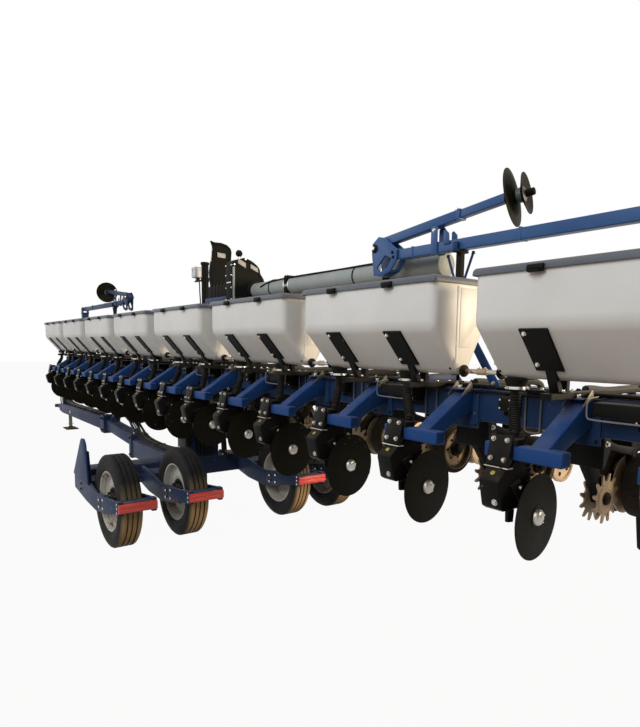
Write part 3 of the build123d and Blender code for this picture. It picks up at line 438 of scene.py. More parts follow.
class Bench:
    """Models shapes as by hand, with Blender's own operators. Sizes are drawing millimetres."""

    def clear(self) -> None:
        """Leaves object mode with nothing selected."""
        bpy.ops.object.select_all(action="DESELECT")

    def settle(self, piece: Piece) -> Piece:
        """Moves the piece's place, turn and scale into its mesh."""
        self.clear()
        piece.select_set(True)
        bpy.context.view_layer.objects.active = piece
        bpy.ops.object.transform_apply(location=True, rotation=True, scale=True)
        return piece

    def modify(self, piece: Piece, kind: str, **settings: object) -> Piece:
        """Adds a modifier and applies it.

        Args:
            piece: The object that is changed.
            kind: The modifier's type.
            **settings: The modifier's own settings.

        Returns:
            The same object.
        """
        self.clear()
        piece.select_set(True)
        bpy.context.view_layer.objects.active = piece
        modifier = piece.modifiers.new(kind.lower(), kind)
        for key, value in settings.items():
            setattr(modifier, key, value)
        bpy.ops.object.modifier_apply(modifier=modifier.name)
        return piece

    def round_edges(self, piece: Piece, width: float, steps: int = 2, angle: float = 30.0
                    ) -> Piece:
        """Rounds the edges that turn by more than the angle."""
        return self.modify(piece, "BEVEL", width=width * MM, segments=steps, limit_method="ANGLE",
                           angle_limit=math.radians(angle), use_clamp_overlap=True)

    def block(self, x: Pair, y: Pair, z: Pair, edge: float = 3.0, steps: int = 2) -> Piece:
        """Models a block with rounded edges.

        Args:
            x: Lowest and highest x.
            y: Lowest and highest y.
            z: Lowest and highest z.
            edge: Width of the rounding.
            steps: Segments in the rounding.

        Returns:
            The new object.
        """
        self.clear()
        low, high = placed((min(x), min(y), min(z))), placed((max(x), max(y), max(z)))
        bpy.ops.mesh.primitive_cube_add(size=1, location=(low + high) / 2, scale=high - low)
        piece = self.settle(bpy.context.object)
        return self.round_edges(piece, edge, steps) if edge > 0 else piece

    def outline(self, corners: Sequence[Point], filled: bool) -> Piece:
        """Starts from a circle primitive and moves its points to the corners."""
        self.clear()
        fill = "NGON" if filled else "NOTHING"
        bpy.ops.mesh.primitive_circle_add(vertices=len(corners), radius=1, fill_type=fill)
        piece = bpy.context.object
        for vertex, corner in zip(piece.data.vertices, corners):
            vertex.co = placed(corner)
        piece.matrix_world = Matrix.Identity(4)
        return piece

    def prism(self, pairs: Sequence[Pair], along: Along, low: float, high: float, edge: float = 3.0,
              steps: int = 2, angle: float = 30.0) -> Piece:
        """Models a plate or bar of any outline by extruding it.

        Args:
            pairs: The outline on the plane across the axis.
            along: The axis that it is extruded along.
            low: Where it starts.
            high: Where it ends.
            edge: Width of the rounding.
            steps: Segments in the rounding.
            angle: Edges that turn by less stay sharp.

        Returns:
            The new object.
        """
        piece = self.outline([on_plane(along, a, b, low) for a, b in pairs], True)
        move = [0.0, 0.0, 0.0]
        move[along.value] = (high - low) * MM
        bpy.ops.object.mode_set(mode="EDIT")
        bpy.ops.mesh.select_all(action="SELECT")
        bpy.ops.mesh.extrude_region_move(TRANSFORM_OT_translate={"value": move})
        bpy.ops.mesh.select_all(action="SELECT")
        bpy.ops.mesh.normals_make_consistent(inside=False)
        bpy.ops.object.mode_set(mode="OBJECT")
        return self.round_edges(piece, edge, steps, angle) if edge > 0 else piece

    def lathe(self, profile: Sequence[Pair], along: Along, centre: Point, steps: int = 32
              ) -> Piece:
        """Models a turned shape by spinning a closed profile.

        Args:
            profile: Closed outline of (radius, place along the axis).
            along: The axis that it turns about.
            centre: A point on the axis.
            steps: Faces round the axis.

        Returns:
            The new object.
        """
        corners = []
        for radius, shift in profile:
            point = list(centre)
            point[along.value] += shift
            point[(along.value + 1) % 3] += radius
            corners.append(tuple(point))
        piece = self.outline(corners, False)
        axis = [0.0, 0.0, 0.0]
        axis[along.value] = 1.0
        bpy.ops.object.mode_set(mode="EDIT")
        bpy.ops.mesh.select_all(action="SELECT")
        bpy.ops.mesh.spin(steps=steps, angle=math.tau, center=placed(centre), axis=axis)
        bpy.ops.mesh.select_all(action="SELECT")
        bpy.ops.mesh.remove_doubles(threshold=MERGE_WITHIN)
        bpy.ops.mesh.normals_make_consistent(inside=False)
        bpy.ops.object.mode_set(mode="OBJECT")
        return piece

    def rod(self, start: Point, end: Point, radius: float, sides: int = 16, edge: float = 1.5
            ) -> Piece:
        """Models a round bar between two points.

        Args:
            start: Middle of one end.
            end: Middle of the other end.
            radius: Its radius.
            sides: Faces round it.
            edge: Rounding of its ends.

        Returns:
            The new object.
        """
        self.clear()
        first, last = placed(start), placed(end)
        turn = (last - first).to_track_quat("Z", "Y").to_euler()
        bpy.ops.mesh.primitive_cylinder_add(vertices=sides, radius=radius * MM, depth=(last - first).length,
                                            location=(first + last) / 2, rotation=turn)
        piece = self.settle(bpy.context.object)
        return self.round_edges(piece, edge, 1, 50.0) if edge > 0 else piece

    def hose(self, points: Sequence[Point], radius: float, sides: int = 8, order: int = 3,
             resolution: int = 5) -> Piece:
        """Models a hose or bent pipe along a smooth spline.

        Args:
            points: The control points that it follows.
            radius: Its radius.
            sides: Faces round it.
            order: Order of the spline; 2 keeps straight runs.
            resolution: Steps between points.

        Returns:
            The new object.
        """
        self.clear()
        curve = bpy.data.curves.new("hose", "CURVE")
        curve.dimensions = "3D"
        curve.resolution_u = resolution
        curve.bevel_depth = radius * MM
        curve.bevel_resolution = max(0, sides // 4 - 1)
        curve.use_fill_caps = True
        spline = curve.splines.new("NURBS")
        spline.points.add(len(points) - 1)
        for knot, point in zip(spline.points, points):
            knot.co = (*placed(point), 1.0)
        spline.order_u = order
        spline.use_endpoint_u = True
        piece = bpy.data.objects.new("hose", curve)
        bpy.context.scene.collection.objects.link(piece)
        piece.select_set(True)
        bpy.context.view_layer.objects.active = piece
        bpy.ops.object.convert(target="MESH")
        return bpy.context.object

    def coil(self, start: Point, end: Point, radius: float, wire: float, turns: int) -> Piece:
        """Models a coil spring between two points.

        Args:
            start: One end.
            end: The other end.
            radius: Radius of the coil.
            wire: Radius of the wire.
            turns: Number of turns.

        Returns:
            The spring.
        """
        first, last = Vector(start), Vector(end)
        way = (last - first).normalized()
        side = way.orthogonal().normalized()
        other = way.cross(side)
        line = []
        for step in range(turns * COIL_STEPS + 1):
            turn = math.tau * step / COIL_STEPS
            spot = first.lerp(last, step / (turns * COIL_STEPS))
            line.append(tuple(spot + side * (radius * math.cos(turn)) + other * (radius * math.sin(turn))))
        return self.hose(line, wire, 4, 3, 1)

    def bolt(self, at: Point, towards: Point, across: float = 18.0, height: float = 11.0
             ) -> Piece:
        """Models a hexagon head on its washer.

        Args:
            at: Middle of the washer's seat.
            towards: Direction that the head faces.
            across: Width of the head.
            height: Height of the head.

        Returns:
            The new object.
        """
        way = Vector(towards).normalized()
        seat = Vector(at)
        washer = self.rod(tuple(seat), tuple(seat + way * 3), across * 0.72, 12, 0.8)
        head = self.rod(tuple(seat + way * 2.5), tuple(seat + way * height), across * 0.56, 6, 1.6)
        return self.join([washer, head])

    def bolts(self, places: Iterable[Point], towards: Point, across: float = 18.0, height: float = 11.0
              ) -> Piece:
        """Models one bolt and copies it to every place."""
        spots = [Vector(place) for place in places]
        first = self.bolt(tuple(spots[0]), towards, across, height)
        return self.repeat(first, [tuple(spot - spots[0]) for spot in spots])

    def join(self, parts: Sequence[Piece]) -> Piece:
        """Joins the parts into the first one."""
        if len(parts) == 1:
            return parts[0]
        self.clear()
        for part in parts:
            part.select_set(True)
        bpy.context.view_layer.objects.active = parts[0]
        bpy.ops.object.join()
        return bpy.context.object

    def copy(self, piece: Piece, shift: Point, mirror: Optional[Along] = None,
             about: float = 0.0) -> Piece:
        """Copies a piece with its own mesh.

        Args:
            piece: The piece that is copied.
            shift: How far the copy is moved.
            mirror: The axis that it is mirrored along, if any.
            about: The place of the mirror on that axis.

        Returns:
            The copy.
        """
        twin = piece.copy()
        twin.data = piece.data.copy()
        bpy.context.scene.collection.objects.link(twin)
        if mirror is not None:
            middle = placed((about, about, about))
            flip = Matrix.Identity(4)
            flip[mirror.value][mirror.value] = -1
            flip[mirror.value][3] = 2 * middle[mirror.value]
            twin.data.transform(flip)
            twin.data.flip_normals()
        twin.data.transform(Matrix.Translation(Vector(shift) * MM))
        return twin

    def repeat(self, piece: Piece, shifts: Sequence[Point]) -> Piece:
        """Puts one copy of the piece at each shift and joins them.

        Args:
            piece: The piece, which is used up.
            shifts: How far each copy is moved.

        Returns:
            The joined copies.
        """
        copies = [self.copy(piece, shift) for shift in shifts]
        bpy.data.objects.remove(piece)
        return self.join(copies)

    def along_rows(self, piece: Piece) -> Piece:
        """Copies a piece drawn at x = 0 to the sixteen rows."""
        return self.repeat(piece, [(place, 0, 0) for place in ROWS])

    def along_hoppers(self, piece: Piece) -> Piece:
        """Copies a piece drawn at x = 0 to the eight hoppers."""
        return self.repeat(piece, [(place, 0, 0) for place in HOPPERS])

    def mirrored(self, piece: Piece, axis: Along, about: float = 0.0) -> Piece:
        """Joins the piece with its mirror image."""
        return self.join([piece, self.copy(piece, (0, 0, 0), axis, about)])

    def select_faces(self, piece: Piece, test: FaceTest) -> None:
        """Enters edit mode with the faces that pass the test selected."""
        bpy.context.view_layer.objects.active = piece
        for polygon in piece.data.polygons:
            polygon.select = test(polygon)
        for vertex in piece.data.vertices:
            vertex.select = False
        for edge in piece.data.edges:
            edge.select = False
        bpy.ops.object.mode_set(mode="EDIT")
        bpy.ops.mesh.select_mode(type="FACE")

    def recess(self, piece: Piece, test: FaceTest, *steps: Pair) -> None:
        """Insets the faces that pass the test, once for each (thickness, depth) in metres."""
        self.select_faces(piece, test)
        for thickness, depth in steps:
            bpy.ops.mesh.inset(thickness=thickness, depth=depth)
        bpy.ops.object.mode_set(mode="OBJECT")

    def cut(self, piece: Piece, height: float, way: int) -> None:
        """Cuts away what lies above a height, or below it where way is -1."""
        self.select_faces(piece, lambda face: True)
        bpy.ops.mesh.select_all(action="SELECT")
        bpy.ops.mesh.bisect(plane_co=placed((0, 0, height)), plane_no=(0, 0, way), clear_outer=True)
        bpy.ops.object.mode_set(mode="OBJECT")

    def turn(self, piece: Piece, centre: Point, turn: Matrix) -> Piece:
        """Turns a piece about a point and returns it."""
        middle = placed(centre)
        piece.data.transform(Matrix.Translation(middle) @ turn @ Matrix.Translation(-middle))
        return piece


def painted(piece: Piece, finish: Finish) -> Piece:
    """Gives the whole piece one finish and returns it."""
    piece.data.materials.clear()
    piece.data.materials.append(finish.material())
    return piece


def dressed(*groups: tuple) -> list[Piece]:
    """Paints pieces given as (finish, piece, piece...) and returns them in order."""
    return [painted(piece, finish) for finish, *pieces in groups for piece in pieces]


class Shop(Bench):
    """A bench that also hands finished pieces to the frame."""

    def deliver(self, name: str, parts: Sequence[Piece], body: str, slot: str,
                replaces: Sequence[str] = (), smooth: float = 35.0) -> Piece:
        """Joins, names, smooths and seats a piece.

        Args:
            name: The piece's name.
            parts: Its parts, already painted.
            body: The body that it rides on.
            slot: The record's material slot; not used.
            replaces: The CAD nodes that it stands for.
            smooth: Faces that meet at less than this look smooth.

        Returns:
            The finished piece.
        """
        piece = self.settle(self.join(list(parts)))
        piece.name = name
        piece.data.name = name
        bpy.ops.object.shade_smooth_by_angle(angle=math.radians(smooth))
        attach(piece, body)
        if replaces:
            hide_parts(*replaces)
        LOG.info("%s: %d faces on %s", name, len(piece.data.polygons), body)
        return piece


# Sub-assemblies


@dataclass
class Hoppers:
    """The eight dry product hoppers with their outlets, straps and shafts."""

    half_x: float = 628.0
    rear_y: float = 20.0
    front_y: float = 485.0
    top_z: float = 2374.6
    knee_z: float = 2100.0
    bottom_z: float = 1835.0
    foot_rear_y: float = 165.0
    foot_front_y: float = 255.0
    corner: float = 50.0
    wall: float = 7.0
    outlet_y: float = 210.0
    outlet_left_x: float = 540.0
    outlet_right_x: float = -181.0
    strap_x: float = 288.0

    def shell(self, shop: Shop) -> Piece:
        """Models one moulded hopper: rounded, recessed at its ends, open and hollow."""
        rise = self.top_z + 60
        outline = [(self.rear_y, rise), (self.front_y, rise), (self.front_y, self.knee_z),
                   (self.foot_front_y, self.bottom_z), (self.foot_rear_y, self.bottom_z),
                   (self.rear_y, self.knee_z)]
        piece = shop.prism(outline, Along.X, -self.half_x, self.half_x, self.corner, 4)
        shop.cut(piece, self.top_z, 1)
        return shop.modify(piece, "SOLIDIFY", thickness=self.wall * MM, offset=-1.0)

    def end_ribs(self, shop: Shop) -> Piece:
        """Models each end's upright ridge and the raised panel with a stepped foot behind it."""
        ribs = []
        panel = [(262, 2330), (80, 2330), (64, 2314), (64, 2150), (96, 2112), (130, 2112), (160, 2060), (160, 1990),
                 (262, 1990)]
        for side in (-1, 1):
            outer, inner = side * (self.half_x + 5), side * (self.half_x - 8)
            ribs.append(shop.prism([(270, 2336), (290, 2336), (286, 1900), (270, 1900)], Along.X,
                                   min(outer, inner), max(outer, inner), 4.0, 2))
            face = side * (self.half_x + 3)
            ribs.append(shop.prism(panel, Along.X, min(face, inner), max(face, inner), 3.5, 2))
        return shop.join(ribs)

    def outlet(self, shop: Shop, x: float) -> list[Piece]:
        """Models an outlet boot with its clamp ring and neck."""
        centre = (x, self.outlet_y, 0.0)
        boot = shop.lathe([(36, 1770), (49, 1770), (51, 1800), (60, 1818), (62, 1834.6), (36, 1834.6)],
                          Along.Z, centre, 24)
        ring = shop.lathe([(48, 1776), (53, 1776), (53, 1790), (48, 1790)], Along.Z, centre, 24)
        screw = shop.bolt((x + 20, self.outlet_y + 53, 1783), (0, 1, 0), 10, 12)
        flange = shop.block((x - 78, x + 78), (self.outlet_y - 44, self.outlet_y + 44), (1827, 1834.7), 3)
        return dressed((PLASTIC, boot), (BRIGHT, ring, screw), (PLASTIC, flange))

    def build(self, shop: Shop) -> None:
        """Builds and dresses everything of the hoppers."""
        shell = shop.join(dressed((CREAM, self.shell(shop), self.end_ribs(shop))))
        screws = painted(shop.bolts([(x, 284, 1872) for x in (-590, 590)], (0, 0.75, -0.66), 11, 7), CAST)
        shop.deliver("hopper_shells", [shop.along_hoppers(shop.join([shell, screws]))], "turning_frame",
                     "hopper_plastic", ["hoppers"], 40.0)
        outlets = self.outlet(shop, self.outlet_left_x) + self.outlet(shop, self.outlet_right_x)
        shop.deliver("outlet_boots", [shop.along_hoppers(shop.join(outlets))], "turning_frame",
                     "black_plastic", ["hopper_outlets"])
        self.build_straps(shop)
        self.build_shafts(shop)
        self.build_braces(shop)

    def build_straps(self, shop: Shop) -> None:
        """Adds the strap plates' bolts and folded edges over the CAD straps."""
        parts = []
        way = (0.0, 0.755, -0.656)
        for side in (-1, 1):
            x = side * self.strap_x
            slope = [(485 - 230 * share, 2100 - 265 * share) for share in (0.13, 0.68)]
            spots = [(x + 52, y + 6.2, z - 5.4) for y, z in slope]
            parts.append(painted(shop.bolts(spots, way, 17, 12), BRIGHT))
            lip = shop.prism([(474, 2081), (480, 2074), (312, 1881), (306, 1888)], Along.X, x - 75, x - 66, 2)
            parts.append(painted(lip, BLACK))
            foot = shop.block((x - 42, x + 42), (205, 250), (1773, 1781), 2)
            parts.append(painted(foot, BLACK))
            parts.append(painted(shop.bolts([(x - 28, 228, 1781), (x + 28, 228, 1781)], (0, 0, 1)), BRIGHT))
        shop.deliver("strap_bolts", [shop.along_hoppers(shop.join(parts))], "turning_frame", "black_paint")

    def build_braces(self, shop: Shop) -> None:
        """Adds the flat diagonal brace behind every hopper's rear end."""
        bar = shop.prism([(-402, 2080), (-470, 2080), (-704, 1744), (-634, 1744)], Along.Y, -68, -59, 2)
        lug = shop.block((-446, -396), (-68, 19), (2046, 2088), 4)
        foot = shop.block((-692, -618), (-112, -22), (1743.5, 1753), 3)
        heads = shop.bolts([(-421, -59, 2062), (-640, -59, 1778)], (0, 1, 0), 20, 12)
        parts = dressed((LIT_BLUE, bar), (BLACK, lug), (LIT_BLUE, foot), (STEEL, heads))
        shop.deliver("hopper_braces", [shop.along_hoppers(shop.join(parts))], "turning_frame", "blue_paint")

    def build_shafts(self, shop: Shop) -> None:
        """Models the drive shafts between the hoppers with couplings and end caps."""
        y, z = 212.0, 1857.0
        parts = []
        start, end = self.half_x, 2 * ROW_PITCH - self.half_x
        middle = (start + end) / 2
        parts.append(painted(shop.rod((start, y, z), (end, y, z), 13.5, 16), STEEL))
        parts.append(painted(shop.rod((middle - 34, y, z), (middle + 34, y, z), 19, 16, 3), WORN_DISC))
        parts.append(painted(shop.bolts([(middle - 20, y, z + 19), (middle + 20, y, z + 19)], (0, 0, 1), 9, 7),
                             BRIGHT))
        for x, reach in ((start, 1), (end, -1)):
            cap = shop.lathe([(0, 0), (36, 0), (36, 10 * reach), (27, 22 * reach), (14, 24 * reach),
                              (0, 24 * reach)], Along.X, (x, y, z), 20)
            parts.append(painted(cap, PLASTIC))
        piece = shop.repeat(shop.join(parts), [(place, 0, 0) for place in HOPPERS[:-1]])
        shop.deliver("hopper_shafts", [piece], "turning_frame", "bare_steel", ["drive_shafts"])


@dataclass
class Lids:
    """The eight hopper lids, each on its own hinge."""

    half_x: float = 642.0
    rear_y: float = 6.0
    front_y: float = 499.0
    low_z: float = 2349.0
    high_z: float = 2391.0
    latch_x: float = 270.0

    def lid(self, shop: Shop) -> list[Piece]:
        """Models one lid: a thin skirted tray turned over, with a raised panel and two latches."""
        tray = shop.block((-self.half_x, self.half_x), (self.rear_y, self.front_y),
                          (self.low_z - 40, self.high_z - 4), 26, 4)
        shop.recess(tray, lambda face: face.normal.z > FLAT, (0.035, 0.0), (0.010, 0.004))
        shop.cut(tray, self.low_z, -1)
        shop.modify(tray, "SOLIDIFY", thickness=0.005, offset=-1.0)
        parts = [painted(tray, SLATE)]
        for side in (-1, 1):
            x = side * self.latch_x
            body = shop.prism([(499, 2372), (513, 2370), (517, 2352), (510, 2336), (499, 2334)], Along.X,
                              x - 42, x + 42, 3)
            pull = shop.block((x - 26, x + 26), (508, 524), (2334, 2343), 3)
            parts += dressed((PLASTIC, body, pull))
        return parts

    def build(self, shop: Shop) -> None:
        """Copies the lid to each hopper and seats it on its own body."""
        first = shop.join(self.lid(shop))
        for number, place in enumerate(HOPPERS, 1):
            twin = shop.copy(first, (place, 0, 0))
            shop.deliver(f"lid_shell_{number}", [twin], f"lid_{number}", "lid_plastic", [f"lid_{number}"], 40.0)
        bpy.data.objects.remove(first)


@dataclass
class RoadWheels:
    """The four road wheels: ribbed tyres on dished rims."""

    x: float = -1020.0
    radius: float = 455.0
    bead: float = 292.0
    hub: float = 78.0
    hub_half: float = 87.5
    bore: float = 30.6
    nuts: int = 6
    nut_circle: float = 108.0

    def tyre(self, shop: Shop) -> Piece:
        """Models a tyre with round sidewalls and four ribs, its middle at y = 0."""
        wall = [(self.bead, 87), (302, 94), (318, 101), (324, 100), (330, 104), (352, 109), (380, 110.6),
                (402, 109), (410, 106), (416, 106), (430, 101), (442, 94)]
        tread: list[Pair] = [(451, 86), (self.radius, 79)]
        for groove in (46.0, 0.0, -46.0):
            half = 7.5 if groove else 6.0
            tread += [(self.radius, groove + half), (442, groove + half - 2.5), (442, groove - half + 2.5),
                      (self.radius, groove - half)]
        tread += [(self.radius, -79), (451, -86)]
        profile = wall + tread + [(radius, -shift) for radius, shift in reversed(wall)]
        return painted(shop.lathe(profile, Along.Y, (self.x, 0, self.radius), 84), TYRE)

    def rim(self, shop: Shop) -> list[Piece]:
        """Models a rim with its dish, hub, nuts and valve; the dish faces +y."""
        centre = (self.x, 0.0, self.radius)
        profile = [(self.bead, 78), (299, 84), (299, 89), (290, 91), (282, 88), (276, 80), (270, 62), (262, 54),
                   (260, 40), (252, 36), (236, 22), (206, 26), (176, 36), (150, 38), (140, 34), (66, 34),
                   (66, 22), (140, 22), (176, 24), (206, 14), (240, 10), (256, 14), (262, -44), (270, -60),
                   (276, -80), (282, -88), (290, -91), (299, -89), (299, -84), (self.bead, -78)]
        dish = painted(shop.lathe(profile, Along.Y, centre, 60), RIM)
        hub = painted(shop.lathe([(self.bore, -self.hub_half), (60, -self.hub_half), (self.hub, -76),
                                  (self.hub, 30), (self.hub, 52), (70, 58), (56, 60), (52, 84), (46, self.hub_half),
                                  (self.bore, self.hub_half)], Along.Y, centre, 36), BLACK)
        flange = painted(shop.lathe([(60, 33), (128, 33), (132, 37), (128, 42), (60, 42)], Along.Y, centre, 36), BLACK)
        spots = circle((self.x, 41.0, self.radius), Along.Y, self.nut_circle, self.nuts, math.pi / self.nuts)
        nuts = painted(shop.bolts(spots, (0, 1, 0), 26, 26), CAST)
        stem = painted(shop.hose([(self.x + 236, 20, self.radius), (self.x + 228, 50, self.radius),
                                  (self.x + 206, 62, self.radius)], 7, 8), PLASTIC)
        return [dish, hub, flange, nuts, stem]

    def build(self, shop: Shop) -> None:
        """Copies the tyre and the rim to the four wheels."""
        originals = (("tyre", self.tyre(shop), "tyre"), ("rim", shop.join(self.rim(shop)), "rim_paint"))
        for number, place in enumerate(WHEEL_PLACES, 1):
            mirror = Along.Y if place < 0 else None
            for kind, original, slot in originals:
                twin = shop.copy(original, (0.0, CHASSIS_Y + place, 0.0), mirror)
                shop.deliver(f"road_{kind}_{number}", [twin], f"wheel_{number}", slot, [f"{kind}_{number}"], 32.0)
        for _, original, _ in originals:
            bpy.data.objects.remove(original)


@dataclass
class Carriage:
    """The axle beam, the wheel forks with their towers and reflectors, and the centre post."""

    beam_x: Pair = (-220.0, 60.0)
    beam_z: Pair = (400.0, 620.0)
    beam_half: float = 1420.0
    gap: float = 130.0
    plate: float = 50.0
    axle_x: float = -1020.0
    axle_z: float = 455.0
    bar_x: Pair = (-1620.0, -1530.0)

    def y(self, place: float) -> float:
        """Returns a place across the carriage as a drawing y."""
        return CHASSIS_Y + place

    def plates(self, shop: Shop, place: float, side: int, outer: bool) -> list[Piece]:
        """Models one side of a fork: a wide front plate and a narrower bolted rear arm.

        Args:
            shop: The bench.
            place: The wheel's place across the carriage.
            side: 1 for the left plate, -1 for the right one.
            outer: Whether the plate also covers the beam's end.

        Returns:
            The painted parts.
        """
        front = -20 if outer else -218
        wide = [(front, 402), (front, 578 if outer else 598), (-450, 588), (-850, 512), (-1130, 548),
                (-1165, 500), (-1130, 374), (-860, 332), (-480, 352)]
        arm = [(-940, 372), (-930, 500), (-1010, 520), (-1520, 582), (-1560, 584), (-1560, 474), (-1120, 376)]
        near = self.y(place + side * self.gap)
        low, high = spread(near, side, 1, 36)
        parts = [painted(shop.prism(wide, Along.Y, low, high, 5, 2), SHADED_DIRTY_BLUE)]
        low, high = spread(near, side, 14, 43)
        parts.append(painted(shop.prism(arm, Along.Y, low, high, 4, 2), SHADED_DIRTY_BLUE))
        end = [(-1548, 466), (-1548, 592), (-1619, 592), (-1619, 466)]
        low, high = spread(near, side, 0.5, 46)
        parts.append(painted(shop.prism(end, Along.Y, low, high, 6, 2), SHADED_DIRTY_BLUE))
        seat = near + side * 43
        heads = [(-1000, seat, 478), (-1000, seat, 408), (-1130, seat, 420), (-1130, seat, 505)]
        parts.append(painted(shop.bolts(heads, (0, side, 0), 18, 6.5), BRIGHT))
        tips = [(-1584, near + side * 45.5, z) for z in (488, 528, 568)]
        parts.append(painted(shop.bolts(tips, (0, side, 0), 14, 4.0), BRIGHT))
        pivots = [(-300, near + side * 36, z) for z in (440, 500, 560)]
        parts.append(painted(shop.bolts(pivots, (0, side, 0), 20, 13), SHADED_DIRTY_BLUE))
        return parts

    def fork(self, shop: Shop, place: float) -> list[Piece]:
        """Models one wheel's fork with its axle, crossbar and web."""
        edge = abs(place) == WHEEL_PLACES[0]
        outward = 1 if place > 0 else -1
        parts = []
        for side in (-1, 1):
            parts += self.plates(shop, place, side, edge and side == outward)
        low, high = self.y(place - self.gap), self.y(place + self.gap)
        parts.append(painted(shop.block((-1612, -1536), (low - 2, high + 2), (484, 576), 8, 3), SHADED_DIRTY_BLUE))
        parts.append(painted(shop.block((-520, -222), (low, high), (402, 558), 6, 2), SHADED_DIRTY_BLUE))
        parts.append(painted(shop.rod((self.axle_x, low - 42, self.axle_z), (self.axle_x, high + 42, self.axle_z),
                                      29.8, 24, 3), CAST))
        for side, seat in ((-1, low - 36), (1, high + 36)):
            collar = shop.lathe([(29, 0), (52, 0), (56, 3 * side), (50, 8 * side), (29, 8 * side)], Along.Y,
                                (self.axle_x, seat, self.axle_z), 24)
            parts.append(painted(collar, CAST))
        for side in (-1, 1):
            welds = shop.rod((-1536, low + 8, 530 + side * 47), (-1536, high - 8, 530 + side * 47), 5, 8, 0)
            parts.append(painted(welds, SHADED_DIRTY_BLUE))
        return parts

    def reflector(self, shop: Shop, place: float) -> list[Piece]:
        """Models a red reflector bar on its backing rail."""
        y = self.y(place)
        rail = shop.block((-1628, -1620.5), (y - 175, y + 175), (486, 571), 2.0)
        face = shop.block((-1638, -1627), (y - 176, y + 176), (492, 566), 3, 2)
        ridge = shop.block((-1641.8, -1636), (y - 172, y + 172), (536, 560), 2.5, 2)
        lower = shop.block((-1641.8, -1636), (y - 172, y + 172), (498, 530), 2.5, 2)
        return dressed((RED, rail, face, ridge, lower))

    def tower(self, shop: Shop, side: int, top: float) -> list[Piece]:
        """Models a lift tower on an outer fork: a leaning plate with a shorter one behind it."""
        drop = 1005 - top
        lean = [(-30, 562), (-380 + drop * 0.35, top - 22), (-420 + drop * 0.2, top - 2), (-500, top),
                (-545, top - 40), (-560, top - 70), (-636, 545)]
        back = [(-160, 562), (-360, top - 190), (-470, top - 130), (-530, top - 130), (-600, 545)]
        near = self.y(side * (WHEEL_PLACES[0] + self.gap))
        low, high = spread(near, side, 30, 49.5)
        parts = [painted(shop.prism(lean, Along.Y, low, high, 5, 2), SHADED_DIRTY_BLUE)]
        low, high = spread(near, side, 0.5, 16)
        parts.append(painted(shop.prism(back, Along.Y, low, high, 4, 2), SHADED_DIRTY_BLUE))
        low, high = spread(near, side, 12, 34)
        spine = [(-470, 575), (-420, top - 150), (-448, top - 146), (-512, 575)]
        parts.append(painted(shop.prism(spine, Along.Y, low, high, 3, 2), SHADED_DIRTY_BLUE))
        seat = near + side * 15
        parts.append(painted(shop.rod((-455, seat, top - 190), (-455, near + side * 44, top - 190), 24, 20, 2),
                             CAST))
        return parts

    def build_forks(self, shop: Shop) -> None:
        """Builds the four forks, two towers and four reflectors."""
        parts, reflectors = [], []
        for place in WHEEL_PLACES:
            parts += self.fork(shop, place)
            reflectors += self.reflector(shop, place)
        parts += self.tower(shop, 1, 1004.0) + self.tower(shop, -1, 904.0)
        shop.deliver("fork_plates", parts, "chassis", "blue_paint", ["wheel_forks"])
        shop.deliver("reflectors", reflectors, "chassis", "reflector_red", ["reflector_bars"])

    def build_beam(self, shop: Shop) -> None:
        """Builds the axle beam with its gussets, clamps and pipes."""
        tube = shop.block(self.beam_x, (self.y(-self.beam_half), self.y(self.beam_half)), self.beam_z, 16, 3)
        parts = [painted(tube, SHADED_DIRTY_BLUE)]
        for place in (-1000.0, -330.0, 330.0, 1000.0):
            y = self.y(place)
            gusset = shop.prism([(-218, 618), (-150, 640), (40, 640), (58, 618)], Along.Y, y - 12, y + 12, 3)
            parts.append(painted(gusset, SHADED_DIRTY_BLUE))
        for place in (-960.0, 960.0):
            y = self.y(place)
            clamp = shop.block((62, 84), (y - 90, y + 90), (420, 600), 5, 2)
            heads = [(84, y + dy, z) for dy in (-62, 62) for z in (450, 570)]
            parts += dressed((SHADED_DIRTY_BLUE, clamp), (BRIGHT, shop.bolts(heads, (1, 0, 0), 26, 20)))
        for z in (470.0, 505.0, 540.0):
            pipe = shop.hose([(66, self.y(-900), z), (74, self.y(-860), z), (74, self.y(860), z),
                              (66, self.y(900), z)], 8, 8, 2)
            parts.append(painted(pipe, CAST))
        shop.deliver("beam_tube", parts, "chassis", "blue_paint", ["axle_beam"])

    def build_post(self, shop: Shop) -> None:
        """Builds the centre post: a boxed column, its round head, lift cylinders and hoses."""
        y = CHASSIS_Y
        column = shop.block((-218, 178), (y - 188, y + 188), (618, 918), 14, 3)
        cap = shop.lathe([(0, 902), (186, 902), (186, 934), (172, 946), (150, 948), (150, 1372), (172, 1376),
                          (172, 1399), (0, 1399)], Along.Z, (0, y, 0), 48)
        parts = dressed((SHADED_DIRTY_BLUE, column, cap))
        for side in (-1, 1):
            for x in (-150.0, 110.0):
                rib = shop.prism([(x, 918), (x + 40, 918), (x * 0.62, 1180), (x * 0.62 - 14, 1180)], Along.Y,
                                 y + side * 120 - 8, y + side * 120 + 8, 3)
                parts.append(painted(rib, SHADED_DIRTY_BLUE))
            window = shop.prism([(-150, 690), (-150, 870), (120, 870), (120, 690)], Along.Y,
                                min(y + side * 186, y + side * 191), max(y + side * 186, y + side * 191), 2)
            parts.append(painted(window, BLACK))
            heads = [(x, y + side * 191, z) for x in (-130, 100) for z in (710, 850)]
            parts.append(painted(shop.bolts(heads, (0, side, 0), 18, 12), BRIGHT))
            parts += self.cylinder(shop, (-285, y + side * 235, 640), (-205, y + side * 235, 1180))
        for number, shift in enumerate((-96, -48, 0, 48, 96)):
            sag = 26 * math.cos(number * 1.9)
            line = [(-224, y + shift, 640), (-250 - sag, y + shift, 820), (-252 + sag, y + shift * 1.1, 1020),
                    (-205, y + shift * 0.9, 1250), (-120, y + shift * 0.7, 1392)]
